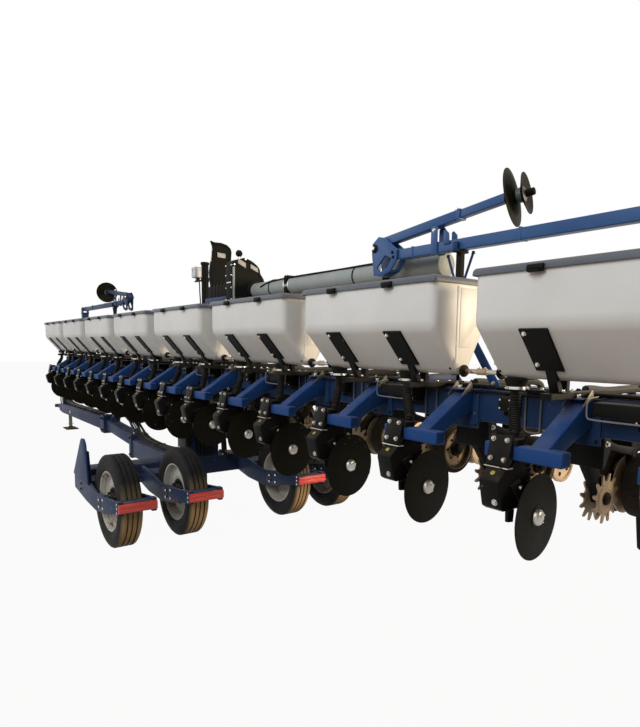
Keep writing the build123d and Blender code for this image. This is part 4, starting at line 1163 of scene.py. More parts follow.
            parts.append(painted(shop.hose(line, 14, 8, 4), HOSE))
            line = [(182, y + shift, 650), (230 + sag, y + shift, 800), (226, y + shift, 1000),
                    (196, y + shift * 0.8, 1240), (120, y + shift * 0.7, 1392)]
            parts.append(painted(shop.hose(line, 13, 8, 4), HOSE))
        shop.deliver("post_column", parts, "chassis", "blue_paint", ["centre_post"])

    def cylinder(self, shop: Shop, low: Point, high: Point) -> list[Piece]:
        """Models a hydraulic cylinder between two pins.

        Args:
            shop: The bench.
            low: Middle of the lower eye.
            high: Middle of the upper eye.

        Returns:
            The painted parts.
        """
        start, end = Vector(low), Vector(high)
        way = (end - start).normalized()
        joint = start.lerp(end, 0.62)
        barrel = shop.rod(tuple(start + way * 25), tuple(joint), 34, 20, 4)
        gland = shop.rod(tuple(joint - way * 6), tuple(joint + way * 16), 38, 20, 3)
        stem = shop.rod(tuple(joint), tuple(end - way * 20), 17, 16, 0)
        parts = dressed((BLACK, barrel, gland), (BRIGHT, stem))
        for eye in (start, end):
            ring = shop.lathe([(13, -20), (34, -20), (34, 20), (13, 20)], Along.Y, tuple(eye), 20)
            pin = shop.rod(tuple(eye - Vector((0, 34, 0))), tuple(eye + Vector((0, 34, 0))), 13, 12, 2)
            parts += dressed((BLACK, ring), (BRIGHT, pin))
        for share in (0.08, 0.56):
            spot = start.lerp(end, share)
            port = shop.rod(tuple(spot + Vector((-30, 0, 0))), tuple(spot + Vector((-50, 0, 0))), 9, 8, 1)
            parts.append(painted(port, BRIGHT))
        return parts

    def build_turret(self, shop: Shop) -> None:
        """Builds the turning head under the toolbar."""
        y = CHASSIS_Y
        drum = shop.lathe([(0, 1400.4), (175, 1400.4), (175, 1424), (150, 1430), (150, 1476), (176, 1482),
                           (176, 1502), (0, 1502)], Along.Z, (0, y, 0), 48)
        plate = shop.block((-160, 160), (y - 189, y + 189), (1500, 1542.6), 6, 2)
        heads = painted(shop.bolts(circle((0, y, 1500.0), Along.Z, 158, 14), (0, 0, -1), 18, 12), BRIGHT)
        parts = [painted(drum, BLUE), painted(plate, BLUE), heads]
        shop.deliver("turning_head", parts, "turning_frame", "blue_paint", ["turret"])

    def build(self, shop: Shop) -> None:
        """Builds everything of the carriage."""
        self.build_forks(shop)
        self.build_beam(shop)
        self.build_post(shop)
        self.build_turret(shop)


@dataclass
class Tongue:
    """The telescoping tongue with its rest, hoses, hitch and jack."""

    base_half: float = 125.0
    mid_half: float = 100.0
    front_half: float = 118.0

    def bar(self, shop: Shop, pairs: Sequence[Pair], half: float, edge: float = 12.0) -> Piece:
        """Models one tube of the tongue from its side outline."""
        return painted(shop.prism(pairs, Along.Y, CHASSIS_Y - half, CHASSIS_Y + half, edge, 3), SHADED_DIRTY_BLUE)

    def collar(self, shop: Shop, pairs: Sequence[Pair], half: float, heads: Sequence[Pair]
               ) -> list[Piece]:
        """Models a bolted collar.

        Args:
            shop: The bench.
            pairs: Its side outline.
            half: Half its width.
            heads: Places of its bolts on both sides, as (x, z).

        Returns:
            The painted parts.
        """
        parts = [self.bar(shop, pairs, half, 6)]
        for side in (-1, 1):
            seat = CHASSIS_Y + side * half
            parts.append(painted(shop.bolts([(x, seat, z) for x, z in heads], (0, side, 0), 30, 20), CAST))
        top = max(z for _, z in pairs)
        middle = sum(x for x, _ in pairs) / len(pairs)
        parts.append(painted(shop.bolts([(middle, CHASSIS_Y - 70, top), (middle, CHASSIS_Y + 70, top)],
                                        (0, 0, 1), 28, 24), BRIGHT))
        return parts

    def tubes(self, shop: Shop) -> list[Piece]:
        """Models the three tubes, their collars and the pivot cheeks."""
        parts = [self.bar(shop, [(60, 262), (60, 498), (2242, 503), (2242, 237)], self.base_half - 1),
                 self.bar(shop, [(2240, 382), (2240, 563), (3700, 648), (3700, 477)], self.mid_half - 1),
                 self.bar(shop, [(3640, 457), (3640, 690), (7000, 638), (7250, 584), (7250, 472), (7000, 442)],
                          self.front_half - 1)]
        parts += self.collar(shop, [(2160, 215), (2160, 580), (2270, 590), (2270, 215)], 139,
                             [(2215, 270), (2215, 530)])
        parts += self.collar(shop, [(3620, 415), (3620, 722), (3820, 728), (3820, 415)], 144,
                             [(3660, 470), (3780, 470), (3660, 670), (3780, 670)])
        for side in (-1, 1):
            low, high = spread(CHASSIS_Y, side, 126, 150)
            cheek = shop.prism([(40, 230), (40, 640), (220, 640), (420, 500), (420, 250)], Along.Y, low, high, 5)
            parts.append(painted(cheek, SHADED_DIRTY_BLUE))
            heads = [(110, CHASSIS_Y + side * 150, z) for z in (300, 400, 560)]
            parts.append(painted(shop.bolts(heads, (0, side, 0), 30, 18), CAST))
        for x in range(4300, 6900, 520):
            parts.append(painted(shop.block((x - 25, x + 25), (CHASSIS_Y - 119.5, CHASSIS_Y + 119.5),
                                            (560 - (x - 4300) * 0.01, 600 - (x - 4300) * 0.01), 3), SHADED_DIRTY_BLUE))
        return parts

    def rest(self, shop: Shop) -> list[Piece]:
        """Models the arched rest that carries the hoses over the joint."""
        arch = [(2200, 586), (2480, 798), (2700, 848), (3150, 848), (3420, 770), (3560, 640), (3462, 632),
                (3380, 722), (3120, 792), (2730, 792), (2520, 742), (2290, 566)]
        parts = []
        for side in (-1, 1):
            low, high = spread(CHASSIS_Y, side, 36, 54)
            parts.append(painted(shop.prism(arch, Along.Y, low, high, 4, 2), SHADED_DIRTY_BLUE))
        for x, z in ((2330, 640), (2560, 790), (2760, 820), (3000, 822), (3200, 806), (3400, 730)):
            parts.append(painted(shop.rod((x, CHASSIS_Y - 40, z), (x, CHASSIS_Y + 40, z), 13, 12, 0), SHADED_DIRTY_BLUE))
        return parts

    def hose_runs(self, shop: Shop) -> list[Piece]:
        """Models the hoses that lie along the tongue and rise at its hitch end."""
        parts = []
        for number in range(6):
            y = CHASSIS_Y - 62 + number * 25
            wave = 14 * math.sin(number * 2.3)
            line = [(-10, y, 700), (300, y, 640 + wave), (900, y, 535 + wave * 0.4), (1500, y, 545),
                    (2050, y, 560 + wave), (2420, y, 800 + wave), (2800, y, 868), (3200, y, 872 + wave * 0.3),
                    (3560, y, 800), (3900, y, 735 + wave * 0.3), (4600, y, 706 + wave * 0.4), (5400, y, 692),
                    (6200, y, 680 + wave * 0.5), (6700, y, 690), (7000, y, 740 + wave)]
            parts.append(painted(shop.hose(line, 11 + (number % 3), 8, 4, 4), HOSE if number % 3 else GREY_HOSE))
        for x, z in ((1300, 560), (2760, 888), (3180, 888), (4400, 728), (5200, 712), (6000, 700)):
            clip = shop.block((x - 16, x + 16), (CHASSIS_Y - 82, CHASSIS_Y + 84), (z - 38, z), 5, 2)
            parts.append(painted(clip, BLACK))
        for number in range(7):
            y = CHASSIS_Y - 96 + number * 31
            lift = 30 * math.sin(number * 1.7)
            reach = 40 * math.cos(number * 2.1)
            line = [(6830 + reach, CHASSIS_Y - 62 + number * 20, 660), (6960 + reach, y, 800 + lift),
                    (7080, y * 1.1, 860 + lift), (7190 + reach, y, 770 + lift), (7170, y, 640),
                    (7090 + reach, y, 560 - lift * 0.3)]
            parts.append(painted(shop.hose(line, 12, 8, 4, 5), GREY_HOSE if number % 3 == 1 else HOSE))
            coupler = shop.rod((7086 + reach, y, 575 - lift * 0.3), (7082 + reach, y, 500 - lift * 0.3), 17, 12, 2)
            parts.append(painted(coupler, BRIGHT))
        stand = shop.prism([(6900, 600), (6900, 800), (6930, 812), (6960, 800), (6960, 600)], Along.Y,
                           CHASSIS_Y - 100, CHASSIS_Y + 100, 5)
        plate = shop.prism([(6180, 500), (6180, 560), (6300, 558), (6300, 498)], Along.Y, CHASSIS_Y + 117,
                           CHASSIS_Y + 120, 0.8, 1)
        return parts + dressed((SHADED_DIRTY_BLUE, stand), (PLATE, plate))

    def build(self, shop: Shop) -> None:
        """Builds the tongue, the hitch and the jack."""
        shop.deliver("tongue_tubes", self.tubes(shop) + self.rest(shop), "chassis", "blue_paint", ["tongue"])
        shop.deliver("tongue_hoses", self.hose_runs(shop), "chassis", "hose_rubber")
        y = CHASSIS_Y
        bar = shop.block((7240, 7668), (y - 69, y + 69), (496, 559), 6, 2)
        eye = shop.lathe([(36, 496), (106, 496), (110, 500), (110, 555), (106, 559), (36, 559)], Along.Z,
                         (7750, y, 0), 40)
        heads = shop.bolts([(7300, y - 40, 559), (7300, y + 40, 559), (7400, y - 40, 559), (7400, y + 40, 559)],
                           (0, 0, 1), 34, 24)
        shop.deliver("hitch_eye", dressed((SHADED_DIRTY_BLUE, bar), (CAST, eye, heads)), "chassis",
                     "blue_paint", ["hitch"])
        self.build_jack(shop)

    def build_jack(self, shop: Shop) -> None:
        """Builds the parking jack."""
        x, y = 7440.0, CHASSIS_Y - 150.0
        sleeve = shop.lathe([(38.4, 402), (50, 402), (52, 406), (52, 734), (46, 742), (20, 746), (20, 752),
                             (0, 752), (0, 722), (38.4, 722)], Along.Z, (x, y, 0), 28)
        lug = shop.block((x - 60, x + 60), (y, CHASSIS_Y - 71), (501, 554), 5, 2)
        crank = shop.hose([(x, y, 740), (x, y, 770), (x + 60, y, 772), (x + 182, y, 772)], 10, 10, 2)
        grip = shop.lathe([(10, 120), (17, 122), (18, 180), (10, 186)], Along.X, (x, y, 772), 16)
        ring = shop.lathe([(51, 470), (60, 472), (60, 488), (51, 490)], Along.Z, (x, y, 0), 28)
        shop.deliver("jack_body", dressed((PANEL, sleeve), (SHADED_DIRTY_BLUE, lug), (CAST, crank), (PLASTIC, grip),
                                          (PANEL, ring)), "chassis", "auger_grey", ["jack_sleeve"])
        leg = shop.rod((x, y, 26), (x, y, 714), 37.6, 28, 2)
        foot = shop.block((x - 189, x + 189), (y - 129, y + 129), (1, 27), 7, 3)
        neck = shop.lathe([(37, 26), (72, 26), (66, 40), (44, 60), (37, 60)], Along.Z, (x, y, 0), 28)
        pin = shop.rod((x, y - 62, 120), (x, y + 62, 120), 9, 10, 1)
        shop.deliver("jack_foot", dressed((PANEL, leg), (CAST, foot, neck), (BRIGHT, pin)), "chassis", "auger_grey",
                     ["jack_leg"])


@dataclass
class Toolbar:
    """The turned toolbar with its clamps, trays, pipes and hoses."""

    half: float = 6079.0
    rear_y: float = -200.0
    front_y: float = 0.0
    low_z: float = 1543.0
    high_z: float = 1743.0

    def u_bolt(self, shop: Shop, x: float, width: float = 150.0) -> list[Piece]:
        """Models a U-bolt over the bar's front face with its nuts on top.

        Args:
            shop: The bench.
            x: Its middle.
            width: Distance between its legs.

        Returns:
            The painted parts.
        """
        y, half = self.front_y + 9, width / 2
        line = [(x - half, y, self.high_z + 44), (x - half, y, self.low_z - 6), (x - half + 12, y, self.low_z - 22),
                (x + half - 12, y, self.low_z - 22), (x + half, y, self.low_z - 6), (x + half, y, self.high_z + 44)]
        parts = [painted(shop.hose(line, 5.0, 8, 2, 2), WIRE)]
        heads = [(x - half, y, self.high_z + 22), (x + half, y, self.high_z + 22)]
        parts.append(painted(shop.bolts(heads, (0, 0, 1), 17, 13), BRIGHT))
        parts.append(painted(shop.block((x - half - 22, x + half + 22), (-16, 22), (self.high_z + 8, self.high_z + 20),
                                        2), BLACK))
        return parts

    def row_fittings(self, shop: Shop) -> list[Piece]:
        """Models what every row carries on the bar: a U-bolt and a valve box on its plate."""
        parts = self.u_bolt(shop, 178.0, 96.0)
        box = shop.block((262, 362), (6, 78), (1632, 1716), 10, 3)
        cover = shop.block((270, 354), (76, 86), (1640, 1708), 5, 2)
        screws = [(x, 86, z) for x in (280, 344) for z in (1650, 1698)]
        parts += dressed((PLASTIC, box, cover), (BRIGHT, shop.bolts(screws, (0, 1, 0), 8, 5)))
        parts.append(painted(shop.block((255, 370), (1, 8), (1600, 1738), 2), BLACK))
        return parts

    def hose_bundle(self, shop: Shop) -> list[Piece]:
        """Models the hoses and wires clipped along the bar's front and top."""
        parts = []
        span = 5950
        for number, (y, z, radius) in enumerate(((16, 1728, 9), (-28, 1757, 10), (-52, 1757, 12), (-84, 1757, 12),
                                                 (-118, 1757, 10))):
            line = []
            for step in range(49):
                x = -span + 2 * span * step / 48
                sag = 9 * math.sin(step * 2.4 + number) + 5 * math.cos(step * 1.3 + 2 * number)
                line.append((x, y + abs(sag) * 0.5, z + sag * (0.8 if y > 0 else 0.15)))
            finish = GREY_HOSE if number == 3 else HOSE
            parts.append(painted(shop.hose(line, radius, 8, 3, 2), finish))
        return parts

    def trays(self, shop: Shop) -> list[Piece]:
        """Models the dark trays in bright frames under every hopper's middle."""
        tray = shop.block((-150, 150), (40, 150), (1665, 1735), 8, 2)
        rail = shop.hose([(-168, 60, 1756), (-168, 138, 1754), (-168, 160, 1742), (-168, 163, 1722), (-168, 163, 1672),
                          (-163, 163, 1656), (-146, 163, 1650), (146, 163, 1650), (163, 163, 1656),
                          (168, 163, 1672), (168, 163, 1722), (168, 160, 1742), (168, 138, 1754), (168, 60, 1756)],
                         4.5, 8, 3, 3)
        stay = shop.block((-168, 168), (2, 42), (1722, 1734), 2)
        return dressed((BLACK, tray), (WIRE, rail), (BLACK, stay))

    def build(self, shop: Shop) -> None:
        """Builds the bar and everything clamped to it."""
        tube = shop.block((-self.half, self.half), (self.rear_y + 0.5, self.front_y - 0.5),
                          (self.low_z + 0.5, self.high_z - 0.5), 14, 4)
        parts = [painted(tube, BLUE)]
        for side in (-1, 1):
            low, high = spread(0, side, 6040, 6079.5)
            plate = shop.block((low, high), (self.rear_y - 8, self.front_y + 8), (self.low_z - 8, self.high_z + 8), 5)
            parts.append(painted(plate, BLUE))
        for place in ROWS:
            strap = shop.block((place - 222, place - 208), (self.rear_y - 3, self.front_y + 4),
                               (self.low_z - 4, self.high_z + 4), 2)
            parts.append(painted(strap, BLUE))
        shop.deliver("toolbar_tube", parts, "turning_frame", "blue_paint", ["toolbar"])
        fittings = shop.along_rows(shop.join(self.row_fittings(shop)))
        shop.deliver("toolbar_clamps", [fittings], "turning_frame", "bare_steel")
        trays = shop.along_hoppers(shop.join(self.trays(shop)))
        shop.deliver("toolbar_trays", [trays, *self.hose_bundle(shop)], "turning_frame", "hose_rubber")


@dataclass
class Openers:
    """The front openers: blue arms and crossbars, black cases and clamps, blades and hoses."""

    arm_x: float = -120.0
    arm_half: float = 50.0
    bar_x: Pair = (-260.0, 175.0)
    bar_y: Pair = (360.0, 436.0)
    bar_z: Pair = (1440.0, 1516.0)
    blade_x: float = -30.0
    blade_y: float = 245.0
    blade_z: float = 1128.0
    blade_radius: float = 227.6
    blade_toe: float = 6.0
    blade_lift: float = 27.0
    over_wheels: Pair = (-2000.0, -1000.0)

    def arm(self, shop: Shop) -> list[Piece]:
        """Models a sloping box arm with its foot plate, bolts and top bracket."""
        sides = [(1, 1739), (40, 1739), (120, 1699), (400, 1519), (433, 1499), (433, 1448), (360, 1441), (150, 1545),
                 (1, 1601)]
        low, high = self.arm_x - self.arm_half, self.arm_x + self.arm_half
        box = shop.prism(sides, Along.X, low, high, 9, 3)
        plate = shop.block((self.arm_x - 94, self.arm_x + 94), (0.5, 16), (1500, 1740), 4, 2)
        heads = [(self.arm_x + x, 16, z) for x in (-76, 76) for z in (1522, 1720)]
        parts = dressed((LIT_BLUE, box), (BLUE, plate), (CAST, shop.bolts(heads, (0, 1, 0), 15, 10)))
        top = shop.block((low + 8, high - 8), (34, 130), (1738, 1744), 1.5)
        lip = shop.prism([(24, 1742), (40, 1786), (52, 1786), (130, 1704), (120, 1698)], Along.X, low - 5, low - 1,
                         1)
        parts += dressed((LIT_BLUE, top), (WIRE, lip, shop.copy(lip, (106, 0, 0))))
        head = shop.bolt((self.arm_x, 84, 1744), (0, 0, 1), 26, 20)
        weld = shop.rod((low - 3, 352, 1480), (high + 3, 352, 1480), 5, 8, 0)
        return parts + dressed((BRIGHT, head), (LIT_BLUE, weld))

    def crossbar(self, shop: Shop) -> list[Piece]:
        """Models the crossbar with its recessed end caps."""
        bar = shop.block((self.bar_x[0] + 1, self.bar_x[1] - 1), self.bar_y, self.bar_z, 8, 3)
        shop.recess(bar, lambda face: abs(face.normal.x) > FLAT, (0.007, 0.0), (0.0004, -0.002))
        return [painted(bar, LIT_BLUE)]

    def case(self, shop: Shop) -> list[Piece]:
        """Models the black case under the crossbar with its leaning bolted clamp."""
        box = shop.prism([(262, 1438), (400, 1436), (440, 1408), (470, 1400), (532, 1345), (534, 1326), (504, 1198),
                          (474, 1182), (292, 1182), (262, 1210)], Along.X, 8, 126, 9, 3)
        leaning = shop.prism([(437, 1560), (447, 1562), (481, 1412), (470, 1402), (437, 1440)], Along.X, -2, 130, 4, 2)
        foot = shop.prism([(440, 1405), (486, 1405), (488, 1400), (440, 1397)], Along.X, -6, 134, 1.2)
        cap = shop.block((-26, 134), (370, 446), (1517, 1546), 3)
        back = shop.block((4, 124), (344, 359), (1420, 1528), 4)
        parts = dressed((BLACK, box, leaning), (STEEL, foot), (BLACK, cap, back))
        way = (0.0, 0.95, 0.30)
        spots = []
        for share in (0.16, 0.80):
            y, z = 447 + 34 * share, 1562 - 150 * share
            spots += [(24, y + 1, z), (104, y + 1, z)]
        parts.append(painted(shop.bolts(spots, way, 19, 13), STEEL))
        parts.append(painted(shop.bolt((40, 511, 1230), (0, 0.975, -0.22), 24, 10), STEEL))
        parts.append(painted(shop.bolt((124, 400, 1262), (1, 0, 0), 30, 16), BRIGHT))
        dot = shop.lathe([(0, 0), (13, 0), (13, 3), (9, 4), (0, 4)], Along.Z, (66, 501, 1373), 20)
        shop.turn(dot, (66, 501, 1373), Matrix.Rotation(math.radians(-42), 4, "X"))
        parts.append(painted(dot, YELLOW))
        ear = shop.prism([(262, 1300), (236, 1292), (214, 1200), (232, 1182), (262, 1182)], Along.X, 60, 78, 3)
        nose = shop.prism([(396, 1186), (452, 1186), (448, 1126), (402, 1120)], Along.X, 2, 20, 3)
        return parts + dressed((BLACK, ear, nose))

    def blade_arm(self, shop: Shop) -> list[Piece]:
        """Models the arm that carries a blade, its scraper and its spring."""
        arm = shop.prism([(370, 1338), (438, 1310), (290, 1124), (250, 1100), (216, 1124), (216, 1180)], Along.X,
                         -6, 40, 5, 2)
        scraper = shop.prism([(300, 1330), (330, 1330), (140, 1180), (118, 1192)], Along.X, -16, -8, 1.5)
        heads = shop.bolts([(-7.5, 330, 1262), (-7.5, 372, 1296)], (-1, 0, 0), 18, 10)
        spring = shop.coil((18, 300, 1432), (18, 240, 1230), 18, 4, 7)
        return dressed((BLACK, arm), (CAST, scraper), (BRIGHT, heads), (BLACK, spring))

    def blade(self, shop: Shop) -> Piece:
        """Models a toed-in coulter blade with its pale hub and bolts."""
        centre = (self.blade_x, self.blade_y, self.blade_z)
        disc = shop.lathe([(0, -3), (self.blade_radius - 16, -3), (self.blade_radius, -0.4), (self.blade_radius, 0.4),
                           (self.blade_radius - 16, 3), (0, 3)], Along.X, centre, 64)
        ring = shop.lathe([(60, -4.4), (66, -4.4), (66, 4.4), (60, 4.4)], Along.X, centre, 40)
        hub = shop.lathe([(0, -27.5), (26, -27.5), (38, -22), (45, -12), (45, 21.5), (0, 21.5)], Along.X, centre, 32)
        cap = shop.lathe([(0, -31), (16, -31), (20, -27), (20, -24), (0, -24)], Along.X, centre, 20)
        spots = circle((centre[0] - 22, *centre[1:]), Along.X, 32, 5, 0.3)
        parts = dressed((DARK_STEEL, disc, ring), (STEEL, hub, cap), (BRIGHT, shop.bolts(spots, (-1, 0, 0), 9, 7)))
        return shop.turn(shop.join(parts), centre, Matrix.Rotation(math.radians(self.blade_toe), 4, "Z"))

    def product_hose(self, shop: Shop, offset: float, side: int) -> list[Piece]:
        """Models a ribbed hose from an outlet down to its case.

        Args:
            shop: The bench.
            offset: The outlet's place along the hopper.
            side: 1 for the row ahead, -1 for the row behind.

        Returns:
            The painted parts.
        """
        end_x = side * ROW_PITCH / 2 + 90
        path = [(offset, 210, 1768), (offset, 210, 1700), (offset, 216, 1674), (end_x, 298, 1562), (end_x, 305, 1535),
                (end_x, 305, 1446)]
        core = shop.hose(path, 25, 12, 3, 5)
        rings = []
        knots = [Vector(point) for point in path]
        lengths = [(b - a).length for a, b in zip(knots, knots[1:])]
        total = sum(lengths)
        count = 24
        for number in range(1, count):
            reach = total * number / count
            leg = 0
            while reach > lengths[leg]:
                reach -= lengths[leg]
                leg += 1
            spot = knots[leg].lerp(knots[leg + 1], reach / lengths[leg])
            way = (knots[leg + 1] - knots[leg]).normalized()
            rings.append(shop.rod(tuple(spot - way * 4), tuple(spot + way * 4), 31, 14, 2.0))
        collar = shop.lathe([(30, 1436), (46, 1436), (46, 1462), (40, 1466), (30, 1466)], Along.Z,
                            (end_x, 305, 0), 20)
        return dressed((HOSE, shop.join([core, *rings])), (PLASTIC, collar))

    def build(self, shop: Shop) -> None:
        """Builds the openers of all rows."""
        arms = shop.along_rows(shop.join(self.arm(shop) + self.crossbar(shop)))
        shop.deliver("opener_beams", [arms], "turning_frame", "blue_paint", ["opener_arms"])
        cases = shop.along_rows(shop.join(self.case(shop) + self.blade_arm(shop)))
        shop.deliver("opener_cases", [cases], "turning_frame", "black_paint", ["openers"])
        low, high = self.over_wheels
        spots = [(place, 0, self.blade_lift if low < place < high else 0) for place in ROWS]
        shop.deliver("opener_blades", [shop.repeat(self.blade(shop), spots)], "turning_frame", "bare_steel",
                     ["coulter_blades"])
        hoses = self.product_hose(shop, Hoppers.outlet_right_x, -1)
        hoses += self.product_hose(shop, Hoppers.outlet_left_x, 1)
        shop.deliver("ribbed_hoses", [shop.along_hoppers(shop.join(hoses))], "turning_frame", "hose_rubber",
                     ["product_hoses"], 50.0)


@dataclass
class Markers:
    """The two folded row markers with their masts, cradles, knees and disc pairs."""

    y: float = -300.0
    hinge_x: float = 6020.0
    hinge_z: float = 2692.0
    half: float = 37.6
    knee_x: float = 3120.0
    knee_z: float = 2768.0
    inner_end: Pair = (3370.0, 2697.0)
    outer_start: Pair = (3180.0, 2812.0)
    outer_end: Pair = (4335.0, 2942.0)
    outer_half: float = 33.6
    disc_x: float = 4400.0
    disc_z: float = 2936.0
    cradle_x: float = 3950.0
    disc_yaw: float = 19.0
    disc_tilt: float = 10.0

    def inner(self, shop: Shop, side: int) -> list[Piece]:
        """Models an inner arm with its hinge eye and knee.

        Args:
            shop: The bench.
            side: 1 for the front marker, -1 for the rear one.

        Returns:
            The painted parts.
        """
        end_x, end_z = self.inner_end
        blue = BLUE if side > 0 else SUNLIT_BLUE
        tube = shop.prism([(side * (self.hinge_x - 46), self.hinge_z + 37.6), (side * end_x, end_z + 37.6),
                           (side * end_x, end_z - 37.6), (side * (self.hinge_x - 46), self.hinge_z - 37.6)],
                          Along.Y, self.y - self.half, self.y + self.half, 7, 3)
        eye = shop.lathe([(16.5, -37.6), (38, -37.6), (38, 37.6), (16.5, 37.6)], Along.Y,
                         (side * self.hinge_x, self.y, self.hinge_z), 28)
        neck = shop.prism([(side * (self.hinge_x - 24), self.hinge_z + 30), (side * (self.hinge_x - 130), end_z + 44),
                           (side * (self.hinge_x - 130), end_z - 44), (side * (self.hinge_x - 24), self.hinge_z - 30)],
                          Along.Y, self.y - 30, self.y + 30, 4)
        parts = dressed((blue, tube, eye, neck))
        sheet = [(250, 2735), (110, 2838), (40, 2855), (-30, 2808), (-36, 2730), (-8, 2556), (70, 2545), (180, 2575),
                 (250, 2659)]
        hole = [(26, 2616), (120, 2706), (196, 2672), (150, 2608), (70, 2578)]
        for ear in (-1, 1):
            low, high = spread(self.y, ear, 38.2, 53.6)
            plate = shop.prism([(side * (self.knee_x + reach), height) for reach, height in sheet], Along.Y, low,
                               high, 3, 2)
            cutter = shop.prism([(side * (self.knee_x + reach), height) for reach, height in hole], Along.Y, low - 20,
                                high + 20, 10, 3)
            shop.modify(plate, "BOOLEAN", operation="DIFFERENCE", object=cutter)
            bpy.data.objects.remove(cutter)
            face = self.y + ear * 53.6
            boss = shop.lathe([(0, 0), (34, 0), (34, ear * 5), (25, ear * 9), (0, ear * 9)], Along.Y,
                              (side * self.knee_x, face, self.knee_z), 24)
            pin = shop.lathe([(0, 0), (17, 0), (17, ear * 22), (13, ear * 27), (0, ear * 27)], Along.Y,
                             (side * self.knee_x, face, self.knee_z), 20)
            heads = [(side * (self.knee_x + reach), face, height) for reach, height in
                     ((205, 2716), (214, 2680))]
            parts += dressed((blue, plate), (BLACK, boss), (BRIGHT, pin),
                             (CAST, shop.bolts(heads, (0, ear, 0), 18, 11)))
        web = shop.prism([(side * (self.knee_x + 10), 2566), (side * (self.knee_x + 170), 2584),
                          (side * (self.knee_x + 172), 2592), (side * (self.knee_x + 10), 2574)], Along.Y,
                         self.y - 38, self.y + 38, 2)
        weld = shop.rod((side * (end_x - 4), self.y - 37, end_z + 38), (side * (end_x - 4), self.y + 37, end_z + 38),
                        5, 8, 0)
        parts += dressed((blue, web, weld))
        return parts + self.under_arm(shop, side)

    def under_arm(self, shop: Shop, side: int) -> list[Piece]:
        """Models the straps and the lock plates carried by an inner arm."""
        low = self.inner_end[1] - 38
        parts = []
        blue = BLUE if side > 0 else SUNLIT_BLUE
        for number, reach in enumerate((3520, 4440, 5300)):
            strap = shop.block((side * reach - 9, side * reach + 9), (self.y - 40.5, self.y + 40.5),
                               (low - 3, low + 79), 2)
            parts.append(painted(strap, CAST if number == 2 else blue))
        for ear in (-1, 1):
            near, far = spread(self.y, ear, 38.6, 47)
            lock = shop.prism([(side * 3712, low - 6), (side * 3712, 2836), (side * 3726, 2848), (side * 3758, 2848),
                               (side * 3772, 2836), (side * 3772, low - 6)], Along.Y, near, far, 2)
            latch = shop.prism([(side * 3830, low + 50), (side * 3830, 2802), (side * 3846, 2810), (side * 3878, 2780),
                                (side * 3884, low + 50)], Along.Y, near, far, 2)
            parts += dressed((blue, lock, latch))
            pin = shop.bolt((side * 3742, self.y + ear * 47, 2818), (0, ear, 0), 20, 12)
            parts.append(painted(pin, BRIGHT))
        return parts

    def outer(self, shop: Shop, side: int) -> list[Piece]:
        """Models an outer arm: a wide first tube, a narrower second tube and its disc pair.

        Args:
            shop: The bench.
            side: 1 for the front marker, -1 for the rear one.

        Returns:
            The painted parts.
        """
        blue = BLUE if side > 0 else SUNLIT_BLUE
        start, end = self.outer_start, self.outer_end
        rise = (end[1] - start[1]) / (end[0] - start[0])
        parts = []
        for low, high, half in ((start[0] - 20, 3955.0, self.outer_half), (3955.0, end[0], self.outer_half - 5)):
            z0, z1 = start[1] + (low - start[0]) * rise, start[1] + (high - start[0]) * rise
            tube = shop.prism([(side * low, z0 - half), (side * low, z0 + half), (side * high, z1 + half),
                               (side * high, z1 - half)], Along.Y, self.y - half, self.y + half, 6, 3)
            parts.append(painted(tube, blue))
        mouth = start[1] + (3944 - start[0]) * rise
        band = shop.block((side * 3944 - 14, side * 3944 + 14), (self.y - 36, self.y + 36),
                          (mouth - 36, mouth + 36), 3)
        neck = shop.prism([(side * self.knee_x, self.knee_z - 30), (side * self.knee_x, self.knee_z + 30),
                           (side * (start[0] + 30), start[1] + 34), (side * (start[0] + 30), start[1] - 26)],
                          Along.Y, self.y - 30, self.y + 30, 4)
        eye = shop.lathe([(16.5, -33.6), (34, -33.6), (34, 33.6), (16.5, 33.6)], Along.Y,
                         (side * self.knee_x, self.y, self.knee_z), 28)
        parts += dressed((blue, band, neck, eye))
        low, high = spread(0, side, end[0] - 8, end[0] + 3)
        cheek = shop.block((low, high), (self.y - 44, self.y + 44), (end[1] - 50, end[1] + 46), 3)
        heads = [(side * (end[0] + 3), self.y + a, end[1] + b) for a in (-32, 32) for b in (-36, 34)]
        parts += dressed((BLACK, cheek), (BRIGHT, shop.bolts(heads, (side, 0, 0), 18, 12)))
        screw = shop.bolt((side * 3900, self.y, mouth + 30), (0, 0, 1), 24, 24)
        return parts + [painted(screw, BRIGHT), self.disc_pair(shop, side)]

    def disc_pair(self, shop: Shop, side: int) -> Piece:
        """Models the dished disc pair on its axle and turns it as it stands on the arm."""
        centre = (side * self.disc_x, self.y, self.disc_z)
        parts = []
        for way, radius in ((1, 181.6), (-1, 127.6)):
            near, rim = way * 15, way * 43
            profile = [(0, near), (48, near), (radius * 0.55, near + (rim - near) * 0.30), (radius, rim),
                       (radius, rim + way * 4), (radius * 0.55, near + (rim - near) * 0.30 + way * 6),
                       (48, near + way * 6), (0, near + way * 6)]
            disc = painted(shop.lathe(profile, Along.X, centre, 56), DARK_STEEL)
            heads = circle((centre[0] + near + way * 6, *centre[1:]), Along.X, 34, 5)
            parts += [disc, painted(shop.bolts(heads, (way, 0, 0), 13, 8), BRIGHT)]
        hub = shop.lathe([(0, -38), (30, -38), (46, -30), (46, 30), (30, 38), (0, 38)], Along.X, centre, 28)
        axle = shop.lathe([(0, -94), (18, -94), (23, -88), (23, 88), (18, 94), (0, 94)], Along.X, centre, 20)
        yaw = math.radians(-90 * (side + 1) - side * self.disc_yaw)
        turn = Matrix.Rotation(yaw, 4, "Z") @ Matrix.Rotation(math.radians(self.disc_tilt), 4, "Y")
        return shop.turn(shop.join(parts + dressed((PANEL, hub), (CAST, axle))), centre, turn)

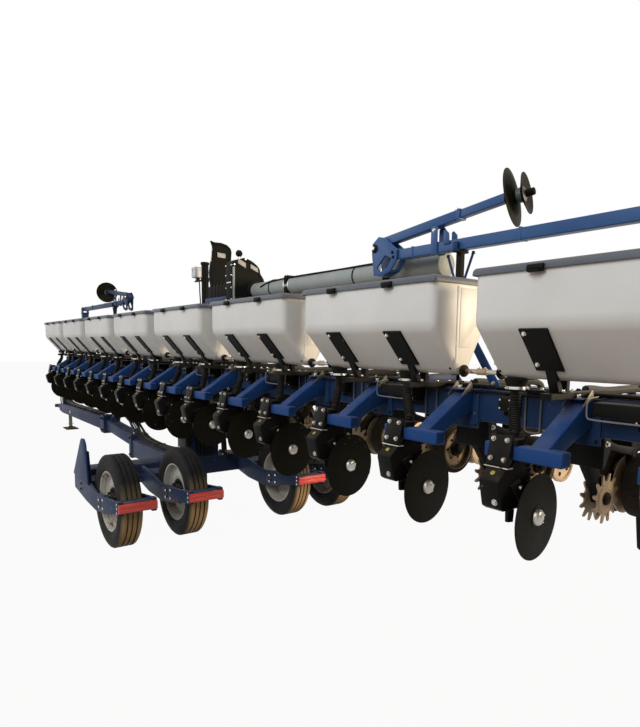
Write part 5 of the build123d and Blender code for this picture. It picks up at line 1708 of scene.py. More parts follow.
    def mast(self, shop: Shop, side: int) -> list[Piece]:
        """Models a marker mast with its foot, gusset, ears, pin and hose."""
        x = side * self.hinge_x
        post = shop.block((x - 58, x + 58), (self.y - 60, self.y + 60), (1800, 2625), 9, 3)
        foot = shop.block((x - 69.6, x + 69.6), (-364.6, -4), (1743.5, 1802.6), 5, 2)
        cap = shop.block((x - 69.6, x + 69.6), (self.y - 64.6, self.y + 64.6), (2601, 2625), 4, 2)
        heads = [(x + a, b, 1802.6) for a in (-50, 50) for b in (-340, -200, -120, -24)]
        gusset = shop.prism([(-236, 1801), (-120, 1801), (-240, 2010)], Along.X, x - 6, x + 6, 2)
        parts = dressed((BLUE, post, foot, cap, gusset), (BRIGHT, shop.bolts(heads, (0, 0, 1), 26, 18)))
        for ear in (-1, 1):
            low, high = spread(self.y, ear, 44.4, 61.6)
            plate = shop.prism([(x - 59.6, 2622), (x + 59.6, 2622), (x + 48, 2706), (x + 22, 2734), (x - 22, 2734),
                                (x - 48, 2706)], Along.Y, low, high, 3, 2)
            head = shop.bolt((x, self.y + ear * 61.6, self.hinge_z), (0, ear, 0), 34, 16)
            parts += dressed((BLUE, plate), (BRIGHT, head))
        pin = shop.rod((x, self.y - 61, self.hinge_z), (x, self.y + 61, self.hinge_z), 14.8, 20, 1)
        clip = shop.hose([(x + 30, self.y + 62, 2500), (x + 40, self.y + 72, 2300), (x + 30, self.y + 66, 2050),
                          (x + 20, self.y + 62, 1830)], 9, 8, 3, 5)
        return parts + dressed((BRIGHT, pin), (HOSE, clip))

    def cradle(self, shop: Shop, side: int) -> list[Piece]:
        """Models a cradle post with its lined cup and foot."""
        x = side * self.cradle_x
        post = shop.block((x - 21.6, x + 21.6), (self.y - 21.6, self.y + 21.6), (1744, 2642), 4, 2)
        foot = shop.block((x - 21.6, x + 21.6), (self.y - 21.6, -4), (1743.5, 1802.6), 4, 2)
        plate = shop.block((x - 62, x + 62), (-196, -30), (1743.5, 1756), 3)
        floor = shop.block((x - 21.6, x + 21.6), (self.y - 61.6, self.y + 61.6), (2642, 2651), 2)
        pad = shop.block((x - 20, x + 20), (self.y - 42, self.y + 42), (2651, 2657.2), 1.5)
        heads = [(x + a, b, 1756) for a in (-48, 48) for b in (-176, -54)]
        parts = dressed((CAST, post), (BLUE, foot), (BLACK, plate), (CAST, floor), (RUBBER, pad),
                        (BRIGHT, shop.bolts(heads, (0, 0, 1), 22, 16)))
        for lean in (-1, 1):
            stay = shop.rod((x + lean * 12, self.y, 2380), (x + lean * 110, self.y, 2632), 9, 12, 1)
            tip = shop.bolt((x + lean * 110, self.y, 2624), (0, 0, 1), 20, 18)
            parts += dressed((BLUE, stay), (CAST, tip))
        for ear in (-1, 1):
            low, high = spread(self.y, ear, 44.4, 61.6)
            parts.append(painted(shop.block((x - 21.6, x + 21.6), (low, high), (2650, 2711.6), 3), BLUE))
        return parts

    def build(self, shop: Shop) -> None:
        """Builds both markers and what holds them."""
        stands = []
        for side, name in ((1, "front"), (-1, "rear")):
            shop.deliver(f"marker_arm_{name}", self.inner(shop, side), f"marker_inner_{name}", "blue_paint",
                         [f"marker_inner_{name}"])
            shop.deliver(f"marker_tip_{name}", self.outer(shop, side), f"marker_outer_{name}", "blue_paint",
                         [f"marker_outer_{name}"])
            stands += self.mast(shop, side) + self.cradle(shop, side)
        shop.deliver("marker_stands", stands, "turning_frame", "blue_paint", ["marker_supports"])


@dataclass
class Auger:
    """The fill auger: tube, thin pipe, hood and panel, stands, mast and lamp."""

    y: float = -520.0
    z: float = 2620.0
    radius: float = 94.6
    near_x: float = -3640.0
    head_x: float = -1095.0
    collars: tuple[float, ...] = (-1524.0, -3048.0)
    posts: tuple[float, ...] = (-762.0, 60.0)
    pipe_y: float = -680.0
    pipe_z: float = 2690.0
    pipe_end: float = -2300.0

    def tube(self, shop: Shop) -> list[Piece]:
        """Models the ringed tube, its clamp collars and the pipe behind it."""
        length = self.head_x - self.near_x
        profile = [(0.0, 0.0), (self.radius - 10, 0.0), (self.radius - 1, 6.0)]
        for seam in range(1, 6):
            place = length * seam / 6
            profile += [(self.radius - 1, place - 11), (self.radius, place - 8), (self.radius, place + 8),
                        (self.radius - 1, place + 11)]
        profile += [(self.radius - 1, length), (0.0, length)]
        barrel = shop.lathe(profile, Along.X, (self.near_x, self.y, self.z), 48)
        parts = [painted(barrel, AUGER)]
        cap = shop.lathe([(0, -6), (40, -6), (62, -1), (62, 3), (0, 3)], Along.X, (self.near_x, self.y, self.z), 32)
        parts.append(painted(cap, AUGER))
        for x in self.collars:
            for drop in (-1, 1):
                low, high = spread(self.z, drop, 8, 104.6)
                jaw = shop.block((x - 31.6, x + 31.6), (self.y - 104.6, self.y + 104.6), (low, high), 22, 4)
                parts.append(painted(jaw, CAST))
            heads = [(x, self.y + b, self.z + 98) for b in (-84, 84)]
            parts.append(painted(shop.bolts(heads, (0, 0, 1), 22, 14), BRIGHT))
            ring = shop.lathe([(95, -46), (99, -44), (99, -36), (95, -34)], Along.X, (x, self.y, self.z), 48)
            parts += dressed((BRIGHT, ring, shop.copy(ring, (80, 0, 0))))
        reach = -744 - self.pipe_end
        pipe = shop.lathe([(0, 0), (40, 0), (47.6, 4), (47.6, reach), (0, reach)], Along.X,
                          (self.pipe_end, self.pipe_y, self.pipe_z), 28)
        end = shop.lathe([(47.6, 20), (51, 20), (51, 70), (47.6, 70)], Along.X,
                         (self.pipe_end, self.pipe_y, self.pipe_z), 28)
        parts += dressed((AUGER, pipe), (PLASTIC, end))
        motor = shop.block((-3600, -3490), (self.y - 42, self.y + 42), (self.z + 90, self.z + 152), 14, 3)
        neck = shop.rod((-3545, self.y, self.z + 148), (-3545, self.y, self.z + 176), 24, 20, 4)
        parts += dressed((PLASTIC, motor), (CAST, neck))
        for x in (-1180, -2620):
            band = shop.lathe([(95, -7), (99, -7), (99, 7), (95, 7)], Along.X, (x, self.y, self.z), 48)
            parts.append(painted(band, BLACK))
        line = [(-3500, self.y + 30, self.z + 120), (-3300, self.y + 60, self.z + 108)]
        line += [(x, self.y + 66 + 6 * math.sin(x * 0.006), self.z + 78) for x in range(-3100, -1200, 240)]
        line += [(-1130, self.y + 84, self.z + 60), (-1000, self.y + 90, self.z + 20)]
        parts.append(painted(shop.hose(line, 9, 8, 3, 4), HOSE))
        return parts

    def head(self, shop: Shop) -> list[Piece]:
        """Models the rounded hood, the tall curved panel and the base under them."""
        hood = shop.prism([(-219, 2480), (-219, 2916), (-265, 2952.5), (-386, 2989.5), (-482, 2958.5),
                           (-548.5, 2915.5), (-583.5, 2878), (-588.5, 2828), (-637.5, 2765), (-647.5, 2715),
                           (-638.5, 2480)], Along.X, -739.5, -560.5, 24, 4, 8)
        shop.recess(hood, lambda face: face.normal.x < -FLAT, (0.016, 0.0), (0.003, -0.006))
        panel = shop.prism([(-385, 2480), (-346, 2755), (-333, 2899), (-349, 3008), (-380, 3218), (-351, 3289),
                            (-390, 3272.5), (-490, 3275.5), (-572, 3258.5), (-623.5, 3220), (-638.5, 3176),
                            (-627.5, 3046), (-625.5, 2480)], Along.X, 80.5, 129.5, 10, 3, 8)
        shop.recess(panel, lambda face: face.normal.x < -FLAT, (0.020, 0.0), (0.004, -0.008))
        base = shop.block((-801.5, 159.5), (-649.5, -218.5), (2440.5, 2479.5), 6, 2)
        neck = shop.lathe([(40, 0), (87.6, 0), (87.6, 356), (40, 356)], Along.X, (self.head_x, self.y, self.z), 44)
        skirt = shop.lathe([(88, 318), (104, 324), (118, 352), (88, 352)], Along.X, (self.head_x, self.y, self.z), 44)
        lug = shop.block((-739, -681), (-679, -520), (2651, 2729), 5, 2)
        parts = dressed((PLASTIC, hood, panel), (BLACK, base), (AUGER, neck), (BLACK, skirt, lug))
        spots = [(x, -219, z) for x in (-716, -584) for z in (2510, 2640, 2780, 2890)]
        parts.append(painted(shop.bolts(spots, (0, 1, 0), 14, 8), BRIGHT))
        spots = [(-739.5, y, z) for y, z in ((-245, 2505), (-616, 2505), (-245, 2900), (-616, 2700), (-386, 2966))]
        parts.append(painted(shop.bolts(spots, (-1, 0, 0), 14, 8), BRIGHT))
        box = shop.prism([(-300, 2480), (-300, 2700), (-336, 2740), (-560, 2740), (-600, 2700), (-600, 2480)],
                         Along.X, -556, 76, 16, 3)
        tray = shop.block((-540, 60), (-330, -250), (2480, 2560), 8, 2)
        parts += dressed((CAST, box), (BLUE, tray))
        ribs = shop.repeat(shop.block((-500, -488), (-604, -296), (2484, 2734), 3),
                           [(step * 92, 0, 0) for step in range(6)])
        parts.append(painted(ribs, CAST))
        return parts + self.head_trim(shop)

    def head_trim(self, shop: Shop) -> list[Piece]:
        """Models the blank plates, the knob, the grey post and the blue plates on the head."""
        parts = []
        for (y0, z0), (y1, z1), drop in (((-291, 2969), (-389, 2925), 56), ((-451, 2921), (-548, 2880), 48)):
            plate = shop.prism([(y0, z0 - drop), (y1, z1 - drop), (y1, z1), (y0, z0)], Along.X, -743, -739, 1.2)
            parts.append(painted(plate, PLATE))
        plate = shop.prism([(-434, 3150), (-546, 3142), (-546, 3086), (-434, 3092)], Along.X, 76.5, 80.4, 1.2)
        strip = shop.prism([(-346, 3026), (-334, 3026), (-352, 3190), (-364, 3190)], Along.X, 77, 80.4, 1.2)
        parts += dressed((PLATE, plate), (LAMP, strip))
        post = shop.block((-746, -722), (-249, -226), (2500, 2872), 5, 2)
        knob = shop.lathe([(0, -40), (20, -35), (35, -20), (40, 0), (35, 20), (20, 35), (0, 40)], Along.Z,
                          (-716, -316, 3027), 28)
        stalk = shop.rod((-716, -316, 2960), (-716, -316, 2992), 12, 14, 2)
        parts += dressed((AUGER, post), (PLASTIC, knob), (BRIGHT, stalk))
        for y0, y1, z0, z1 in ((-420, -338, 2596, 2660), (-575, -470, 2600, 2664)):
            blue = shop.block((48, 72), (y0, y1), (z0, z1), 4, 2)
            parts.append(painted(blue, BLUE))
        hinge = shop.rod((-700, -225, 2700), (-600, -225, 2700), 10, 14, 2)
        cable = shop.hose([(-738, -560, 2700), (-790, -585, 2690), (-842, -560, 2600), (-860, -440, 2510),
                           (-800, -400, 2470)], 11, 8, 3, 6)
        return parts + dressed((BRIGHT, hinge), (HOSE, cable))

    def stand(self, shop: Shop, x: float, top: float, rear: float = -560.0) -> list[Piece]:
        """Models a stand: foot on the bar, post and gussets."""
        foot = shop.block((x - 39.6, x + 39.6), (rear + 0.4, -4), (1743.5, 1802.6), 5, 2)
        post = shop.block((x - 39.6, x + 39.6), (rear + 0.4, rear + 79.6), (1800, top - 0.4), 7, 3)
        gusset = shop.prism([(rear + 76, 1801), (rear + 230, 1801), (rear + 76, 2060)], Along.X, x - 7, x + 7, 2)
        pad = shop.block((x - 74, x + 74), (-190, -20), (1743.5, 1755), 3)
        heads = [(x + a, b, 1755) for a in (-58, 58) for b in (-168, -44)]
        collar = shop.block((x - 44, x + 44), (rear - 4, rear + 84), (top - 34, top - 14), 3)
        return dressed((BLACK, foot), (CAST, post, gusset), (BLACK, pad), (CAST, collar),
                       (BRIGHT, shop.bolts(heads, (0, 0, 1), 22, 16)))

    def build_mast(self, shop: Shop) -> None:
        """Models the mast with its lamp bracket, the lamp and its cable."""
        x, y = 590.0, -500.0
        pole = shop.lathe([(0, 0), (47.6, 0), (47.6, 1283), (42, 1287), (0, 1287)], Along.Z, (x, y, 1803), 32)
        foot = shop.block((x - 39.6, x + 39.6), (y - 39.6, -4), (1743.5, 1802.8), 5, 2)
        plate = shop.block((x - 78, x + 78), (-192, -24), (1743.5, 1756), 3)
        flange = shop.lathe([(0, 0), (84, 0), (84, 12), (50, 16), (0, 16)], Along.Z, (x, y, 1802), 32)
        ring = shop.lathe([(48, 0), (58, 0), (58, 26), (48, 26)], Along.Z, (x, y, 3058), 32)
        lug = shop.block((x + 50, x + 104), (y - 12, y + 12), (3060, 3082), 3)
        clamp = shop.lathe([(48, 0), (56, 0), (56, 52), (48, 52)], Along.Z, (x, y, 2833), 32)
        arm = shop.block((x + 30, 900), (y - 17.6, y + 17.6), (2850.4, 2867.6), 3, 2)
        heads = [(x + a, b, 1756) for a in (-60, 60) for b in (-170, -46)]
        parts = dressed((BLACK, pole, foot, plate, flange), (CAST, ring, lug, clamp), (BLACK, arm),
                        (BRIGHT, shop.bolts(heads, (0, 0, 1), 22, 16)))
        cable = shop.hose([(780, y, 2850), (745, y + 8, 2800), (720, y + 20, 2700), (660, y + 40, 2600),
                           (650, y + 34, 2300), (646, y + 30, 1830)], 8, 8, 3, 6)
        shop.deliver("mast_pole", [*parts, painted(cable, HOSE)], "turning_frame", "black_paint", ["mast"])
        shell = shop.block((761, 884), (y - 69.6, y + 69.6), (2901, 3049), 16, 4)
        shop.recess(shell, lambda face: face.normal.y > FLAT, (0.012, 0.0), (0.004, -0.012))
        fins = shop.repeat(shop.block((884, 899), (y - 60, y + 60), (2920, 2926), 1.5),
                           [(0, 0, step * 20) for step in range(6)])
        stem = shop.block((790, 870), (y - 17, y + 17), (2867.6, 2902), 4)
        knuckle = shop.bolt((830, y + 17, 2884), (0, 1, 0), 22, 14)
        shop.deliver("lamp_housing", dressed((LAMP, shell, fins), (BLACK, stem), (BRIGHT, knuckle)), "turning_frame",
                     "lamp_white", ["work_lamp"])

    def build(self, shop: Shop) -> None:
        """Builds the auger, what carries it, the mast and the lamp."""
        shop.deliver("auger_barrel", self.tube(shop), "turning_frame", "auger_grey", ["auger_tube"])
        shop.deliver("auger_hood", self.head(shop), "turning_frame", "black_paint", ["auger_head"])
        parts = []
        for x in self.collars:
            parts += self.stand(shop, x, self.z - 104.6)
        for x in self.posts:
            parts += self.stand(shop, x, 2440)
        shop.deliver("auger_posts", parts, "turning_frame", "black_paint", ["auger_stands"])
        self.build_mast(shop)


@dataclass
class RowUnits:
    """The sixteen seed row units behind the bar. Depths are measured back from the bar's rear face."""

    rear_y: float = -200.0
    link_x: Pair = (80.0, 92.0)
    gauge: Pair = (610.0, 1162.0)
    gauge_radius: float = 202.6
    disc: Pair = (590.0, 1160.0)
    meter: Pair = (660.0, 1500.0)
    closing: Pair = (1060.0, 1110.0)
    cleaner: Pair = (250.0, 1120.0)

    def y(self, depth: float) -> float:
        """Returns the drawing's y at a depth behind the bar."""
        return self.rear_y - depth

    def sheet(self, shop: Shop, pairs: Sequence[Pair], low: float, high: float, edge: float = 4.0
              ) -> Piece:
        """Models a plate or casting from its (depth, height) outline."""
        return shop.prism([(self.y(depth), height) for depth, height in pairs], Along.X, low, high, edge, 2)

    def head(self, shop: Shop) -> list[Piece]:
        """Models the mounting head: plate, flanges, bolts and link pins."""
        plate = shop.block((-129.6, 129.6), (self.y(24.6), self.y(0.5)), (1340.5, 1744.6), 4)
        parts = [painted(plate, BLACK)]
        for side in (-1, 1):
            low, high = spread(0, side, 92.4, 103.6)
            flange = self.sheet(shop, [(20, 1340.5), (20, 1744.5), (60, 1744.5), (129.5, 1700), (129.5, 1420),
                                       (90, 1340.5)], low, high, 3)
            parts.append(painted(flange, BLACK))
            for height in (1640, 1470):
                pin = shop.bolt((side * 103.6, self.y(86), height), (side, 0, 0), 24, 16)
                parts.append(painted(pin, BRIGHT))
        heads = [(x, self.y(24.6), z) for x in (-66, 66) for z in (1370, 1724)]
        parts.append(painted(shop.bolts(heads, (0, -1, 0), 24, 20), BRIGHT))
        rib = shop.block((-88, 88), (self.y(120), self.y(24)), (1548, 1560), 3)
        return parts + dressed((BLACK, rib))

    def links(self, shop: Shop) -> list[Piece]:
        """Models the four parallel links with their eyes, and the down-force spring between them."""
        parts = []
        for side in (-1, 1):
            low, high = spread(0, side, self.link_x[0], self.link_x[1])
            for height in (1640, 1470):
                bar = self.sheet(shop, [(70, height + 25), (110, height + 22), (250, height - 22), (430, height - 52),
                                        (470, height - 64), (470, height - 115), (430, height - 102),
                                        (250, height - 62), (110, height - 30), (70, height - 25)], low, high, 2.5)
                parts.append(painted(bar, BLACK))
                for depth, drop in ((86, 2), (454, 88)):
                    eye = shop.lathe([(11, -8), (26, -8), (26, 8), (11, 8)], Along.X,
                                     (side * 86, self.y(depth), height - drop), 20)
                    parts.append(painted(eye, CAST))
        cross = shop.rod((-80, self.y(270), 1574), (80, self.y(270), 1574), 12, 14, 1)
        springs = [shop.coil((x, self.y(110), 1520), (x, self.y(420), 1490), 22, 5, 12) for x in (-42, 42)]
        return parts + dressed((CAST, cross), (PLASTIC, *springs))

    def shank(self, shop: Shop) -> list[Piece]:
        """Models the cast row frame with its ribs, ears, foot and pivot pin."""
        body = self.sheet(shop, [(430, 1600), (540, 1639), (870, 1639), (959, 1480), (900, 1360), (640, 1360),
                                 (620, 1122), (560, 1122), (540, 1360), (430, 1360)], -33.6, 33.6, 6)
        ears = shop.block((-79.6, 79.6), (self.y(499.5), self.y(440.5)), (1372.5, 1589.5), 6, 2)
        parts = dressed((CAST, body, ears))
        for side in (-1, 1):
            low, high = spread(0, side, 33, 44)
            for pairs in ([(520, 1610), (860, 1618), (866, 1600), (520, 1590)],
                          [(520, 1400), (880, 1400), (880, 1384), (520, 1384)],
                          [(880, 1600), (896, 1592), (908, 1400), (890, 1396)]):
                parts.append(painted(self.sheet(shop, pairs, low, high, 2), CAST))
        pin = shop.rod((-153.6, self.y(775), 1400), (153.6, self.y(775), 1400), 15.6, 18, 1)
        stop = shop.block((-52, 52), (self.y(830), self.y(716)), (1440, 1474), 8, 2)
        handle = shop.rod((0, self.y(860), 1560), (0, self.y(930), 1690), 11, 12, 3)
        grip = shop.rod((0, self.y(922), 1675), (0, self.y(944), 1716), 17, 14, 4)
        heads = [(33.6, self.y(depth), height)
                 for depth, height in ((560, 1560), (620, 1430), (600, 1240), (840, 1450))]
        return parts + dressed((BRIGHT, pin), (CAST, stop, handle), (PLASTIC, grip),
                               (BRIGHT, shop.bolts(heads, (1, 0, 0), 22, 14)))

    def gauge_wheel(self, shop: Shop) -> list[Piece]:
        """Models a gauge wheel: rounded rubber on a dished spoked half rim."""
        depth, height = self.gauge
        centre = (0.0, self.y(depth), height)
        r = self.gauge_radius
        tyre = shop.lathe([(150, 46), (168, 42.5), (190, 44), (200, 54), (r, 72), (r, 122), (200, 140), (190, 149),
                           (168, 151.5), (150, 146)], Along.X, centre, 44)
        rim = shop.lathe([(26, 112), (60, 108), (110, 96), (144, 92), (158, 78), (168, 70), (168, 150), (162, 152),
                          (150, 108), (112, 104), (60, 120), (26, 124)], Along.X, centre, 44)
        hub = shop.lathe([(0, 84), (48, 84), (59.6, 96), (59.6, 146), (40, 153.6), (0, 153.6)], Along.X, centre, 28)
        spots = circle((112, *centre[1:]), Along.X, 84, 6)
        return dressed((RUBBER, tyre), (DUSTY_CAST, rim), (CAST, hub, shop.bolts(spots, (1, 0, 0), 15, 10)))

    def gauge_arm(self, shop: Shop) -> list[Piece]:
        """Models a gauge wheel arm with its two bosses."""
        arm = self.sheet(shop, [(572, 1184), (586, 1146), (612, 1131), (650, 1150), (815, 1395), (808, 1424),
                                (786, 1440), (745, 1420)], 154.4, 171.6, 4)
        foot = shop.lathe([(0, 155), (36, 155), (36, 174), (28, 179), (0, 179)], Along.X, (0, self.y(610), 1164), 24)
        top = shop.lathe([(0, 155), (32, 155), (32, 175), (0, 175)], Along.X, (0, self.y(775), 1400), 24)
        return dressed((CAST, arm, foot, top), (BRIGHT, shop.bolt((175, self.y(775), 1400), (1, 0, 0), 24, 14)))

    def seed_disc(self, shop: Shop) -> list[Piece]:
        """Models the pair of opener discs that meet at the front, with their hub."""
        depth, height = self.disc
        centre = (0.0, self.y(depth), height)
        disc = shop.lathe([(0, -19.6), (40, -19.6), (189.6, -4), (189.6, 4), (40, 19.6), (0, 19.6)], Along.X, centre,
                          56)
        hub = shop.lathe([(0, -23.6), (27.6, -23.6), (27.6, 23.6), (0, 23.6)], Along.X, centre, 24)
        rings = [shop.lathe([(70, -side * 2), (75, -side * 2), (75, side * 18.3), (70, side * 18.3)], Along.X,
                            centre, 40) for side in (-1, 1)]
        return dressed((WORN_DISC, disc), (BRIGHT, hub), (CAST, *rings))

    def meter_box(self, shop: Shop) -> list[Piece]:
        """Models the seed meter with its ribbed cover, the small seed box above it and its hoses."""
        depth, height = self.meter
        centre = (0.0, self.y(depth), height)
        cover = shop.lathe([(0, 36), (124.6, 36), (124.6, 70), (116, 92), (96, 102), (60, 104), (52, 119.6),
                            (0, 119.6)], Along.X, centre, 40)
        middle = (103, *centre[1:])
        ribs = [shop.rod(inner, outer, 5, 8, 1)
                for inner, outer in zip(circle(middle, Along.X, 58, 8), circle(middle, Along.X, 104, 8))]
        drive = shop.lathe([(0, 118), (30, 118), (30, 140), (22, 148), (0, 148)], Along.X, centre, 20)
        box = shop.block((-104.6, 104.6), (self.y(859.6), self.y(560.4)), (1640.4, 1699.6), 14, 3)
        lid = shop.block((-100, 100), (self.y(852), self.y(568)), (1696, 1712), 7, 2)
        throat = shop.block((40, 96), (self.y(700), self.y(620)), (1600, 1645), 8, 2)
        feed = shop.hose([(-60, self.y(700), 1710), (-60, self.y(690), 1742), (-50, self.y(600), 1764),
                          (-30, self.y(420), 1760), (0, self.y(240), 1752), (10, self.y(90), 1770),
                          (10, self.y(30), 1768)], 24, 12, 3, 5)
        air = shop.hose([(60, self.y(730), 1712), (70, self.y(640), 1752), (80, self.y(420), 1700),
                         (96, self.y(200), 1690), (70, self.y(60), 1756)], 17, 8, 3, 5)
        drop = shop.hose([(60, self.y(640), 1400), (50, self.y(690), 1330), (20, self.y(740), 1230),
                          (0, self.y(756), 1140)], 16, 8, 3, 4)
        wire = shop.hose([(120, self.y(640), 1560), (128, self.y(560), 1610), (110, self.y(380), 1610),
                          (104, self.y(150), 1700), (60, self.y(40), 1754)], 5, 8, 3, 4)
        return dressed((PLASTIC, cover, *ribs), (PANEL, drive), (PLASTIC, box), (SLATE, lid), (PLASTIC, throat),
                       (GREY_HOSE, feed), (HOSE, air), (PLASTIC, drop), (HOSE, wire))

    def star(self, shop: Shop, centre: Pair, root: float, tip: float, teeth: int, low: float, high: float
             ) -> Piece:
        """Models a toothed wheel: an extruded star with a pierced middle.

        Args:
            shop: The bench.
            centre: Depth and height of its middle.
            root: Radius between the teeth.
            tip: Radius of the teeth.
            teeth: Number of teeth.
            low: Its lowest x.
            high: Its highest x.

        Returns:
            The wheel.
        """
        pairs = []
        for number in range(teeth):
            for share, radius in ((0.0, root), (0.22, tip - 12), (0.34, tip), (0.50, tip), (0.62, root)):
                turn = math.tau * (number + share) / teeth
                pairs.append((self.y(centre[0]) + radius * math.cos(turn), centre[1] + radius * math.sin(turn)))
        return shop.prism(pairs, Along.X, low, high, 1.5, 1)

    def row_cleaner(self, shop: Shop) -> list[Piece]:
        """Models the pair of toothed row cleaner wheels with their hubs."""
        parts = []
        for side in (-1, 1):
            low, high = spread(0, side, 33, 43)
            wheel = self.star(shop, self.cleaner, 104, 149.6, 12, low, high)
            ring = shop.lathe([(58, side * 30.4), (90, side * 30.4), (90, side * 45.6), (58, side * 45.6)], Along.X,
                              (0, self.y(self.cleaner[0]), self.cleaner[1]), 28)
            hub = shop.lathe([(0, side * 26.4), (39.6, side * 26.4), (39.6, side * 50), (28, side * 58),
                              (0, side * 58)], Along.X, (0, self.y(self.cleaner[0]), self.cleaner[1]), 24)
            parts += dressed((WORN_DISC, wheel, ring), (CAST, hub))
        return parts

    def cleaner_arm(self, shop: Shop) -> list[Piece]:
        """Models the arm that holds the row cleaners, with its clevis and knob."""
        arm = self.sheet(shop, [(25, 1440), (70, 1440), (150, 1345), (290, 1150), (288, 1118), (266, 1100),
                                (228, 1100), (25, 1350)], -25.6, 25.6, 5)
        heads = [(25.6, self.y(depth), height) for depth, height in ((80, 1390), (140, 1300))]
        knob = shop.rod((0, self.y(92), 1424), (0, self.y(120), 1478), 15, 14, 4)
        stem = shop.rod((0, self.y(76), 1396), (0, self.y(96), 1432), 8, 10, 1)
        return dressed((CAST, arm), (BRIGHT, shop.bolts(heads, (1, 0, 0), 20, 12)), (PLASTIC, knob), (BRIGHT, stem))

    def tail(self, shop: Shop) -> list[Piece]:
        """Models the tail casting with its handle, spring and axle."""
        body = self.sheet(shop, [(900, 1365), (912, 1316), (1000, 1130), (1060, 1091), (1130, 1131), (1130, 1200),
                                 (960, 1400)], -19.6, 19.6, 5)
        axle = shop.rod((-65, self.y(1060), 1110), (65, self.y(1060), 1110), 12, 16, 1)
        spring = shop.coil((0, self.y(948), 1470), (0, self.y(1060), 1270), 20, 5, 7)
        lever = self.sheet(shop, [(1010, 1330), (1030, 1345), (1096, 1560), (1080, 1565)], -8, 8, 3)
        grip = shop.rod((0, self.y(1086), 1546), (0, self.y(1102), 1604), 14, 12, 4)
        return dressed((CAST, body), (BRIGHT, axle), (PLASTIC, spring), (CAST, lever), (PLASTIC, grip))

    def closing_wheel(self, shop: Shop) -> list[Piece]:
        """Models a closing wheel: worn steel tread, dished spoked face and hub."""
        centre = (0.0, self.y(self.closing[0]), self.closing[1])
        tread = shop.lathe([(132, 34.4), (149.6, 38), (149.6, 62), (132, 65.6), (126, 60), (126, 40)], Along.X,
                           centre, 40)
        face = shop.lathe([(28, 44), (60, 44), (127, 48), (127, 53), (60, 51), (28, 52)], Along.X, centre, 40)
        hub = shop.lathe([(12.4, 34.4), (38, 34.4), (38, 58), (30, 65.6), (12.4, 65.6)], Along.X, centre, 24)
        nut = shop.bolt((60, *centre[1:]), (1, 0, 0), 26, 12)
        holes = [shop.lathe([(0, 42), (17, 42), (17, 54.5), (0, 54.5)], Along.X, spot, 16)
                 for spot in circle(centre, Along.X, 88, 5)]
        return dressed((WORN_DISC, tread, face), (CAST, hub), (BRIGHT, nut), (CAST, *holes))

    def build(self, shop: Shop) -> None:
        """Builds the row units of all rows."""
        groups = (
            ("row_mounts", self.head(shop), False, "black_paint", "row_heads"),
            ("link_bars", self.links(shop), False, "black_paint", "parallel_links"),
            ("row_shanks", self.shank(shop), False, "black_paint", "row_frames"),
            ("gauge_tyres", self.gauge_wheel(shop), True, "gauge_rubber", "gauge_wheels"),
            ("gauge_levers", self.gauge_arm(shop), True, "black_paint", "gauge_arms"),
            ("opener_discs", self.seed_disc(shop), False, "bare_steel", "seed_discs"),
            ("meters_and_boxes", self.meter_box(shop), False, "black_plastic", "seed_meters"),
            ("cleaner_wheels", self.row_cleaner(shop), False, "bare_steel", "row_cleaners"),
            ("cleaner_brackets", self.cleaner_arm(shop), False, "black_paint", "cleaner_arms"),
            ("row_tails", self.tail(shop), False, "black_paint", "closing_frames"),
            ("press_wheels", self.closing_wheel(shop), True, "bare_steel", "closing_wheels"),
        )
        for name, parts, paired, slot, node in groups:
            piece = shop.join(parts)
            if paired:
                piece = shop.mirrored(piece, Along.X)
            shop.deliver(name, [shop.along_rows(piece)], "turning_frame", slot, [node])


class FrameDresser:
    """Gives every CAD node that still shows its finish."""

    BY_NODE = {
        "axle_beam": SHADED_DIRTY_BLUE, "centre_post": SHADED_DIRTY_BLUE, "tongue": SHADED_DIRTY_BLUE, "hitch": SHADED_DIRTY_BLUE, "jack_sleeve": PANEL,
        "jack_leg": PANEL, "wheel_forks": SHADED_DIRTY_BLUE, "reflector_bars": RED, "toolbar": BLUE, "turret": BLUE,
        "opener_arms": BLUE, "marker_supports": BLUE, "auger_stands": CAST, "marker_inner_front": BLUE,
        "marker_inner_rear": SUNLIT_BLUE, "marker_outer_front": BLUE, "marker_outer_rear": SUNLIT_BLUE,
        "openers": BLACK, "hopper_straps": BLACK, "row_heads": BLACK, "parallel_links": BLACK,
        "row_frames": CAST, "closing_frames": CAST, "gauge_arms": CAST, "cleaner_arms": CAST,
        "mast": BLACK, "auger_head": BLACK, "seed_meters": PLASTIC, "hopper_outlets": PLASTIC,
        "gauge_wheels": RUBBER, "coulter_blades": DARK_STEEL, "seed_discs": WORN_DISC,
        "closing_wheels": WORN_DISC, "row_cleaners": WORN_DISC, "drive_shafts": BRIGHT,
        "hoppers": CREAM, "product_hoses": HOSE, "auger_tube": AUGER, "work_lamp": LAMP,
    }

    def finish_for(self, node: str) -> Finish:
        """Returns the finish of a node by its name."""
        if node.startswith("lid_"):
            return SLATE
        if node.startswith("tyre_"):
            return TYRE
        if node.startswith("rim_"):
            return RIM
        return self.BY_NODE[node]

    def dress(self, nodes: dict) -> None:
        """Assigns the finishes to the nodes' material slots."""
        for name, node in nodes.items():
            material = self.finish_for(name).material()
            if node.material_slots:
                for place in node.material_slots:
                    place.material = material
            else:
                node.data.materials.append(material)
            LOG.info("%s wears %s", name, material.name)


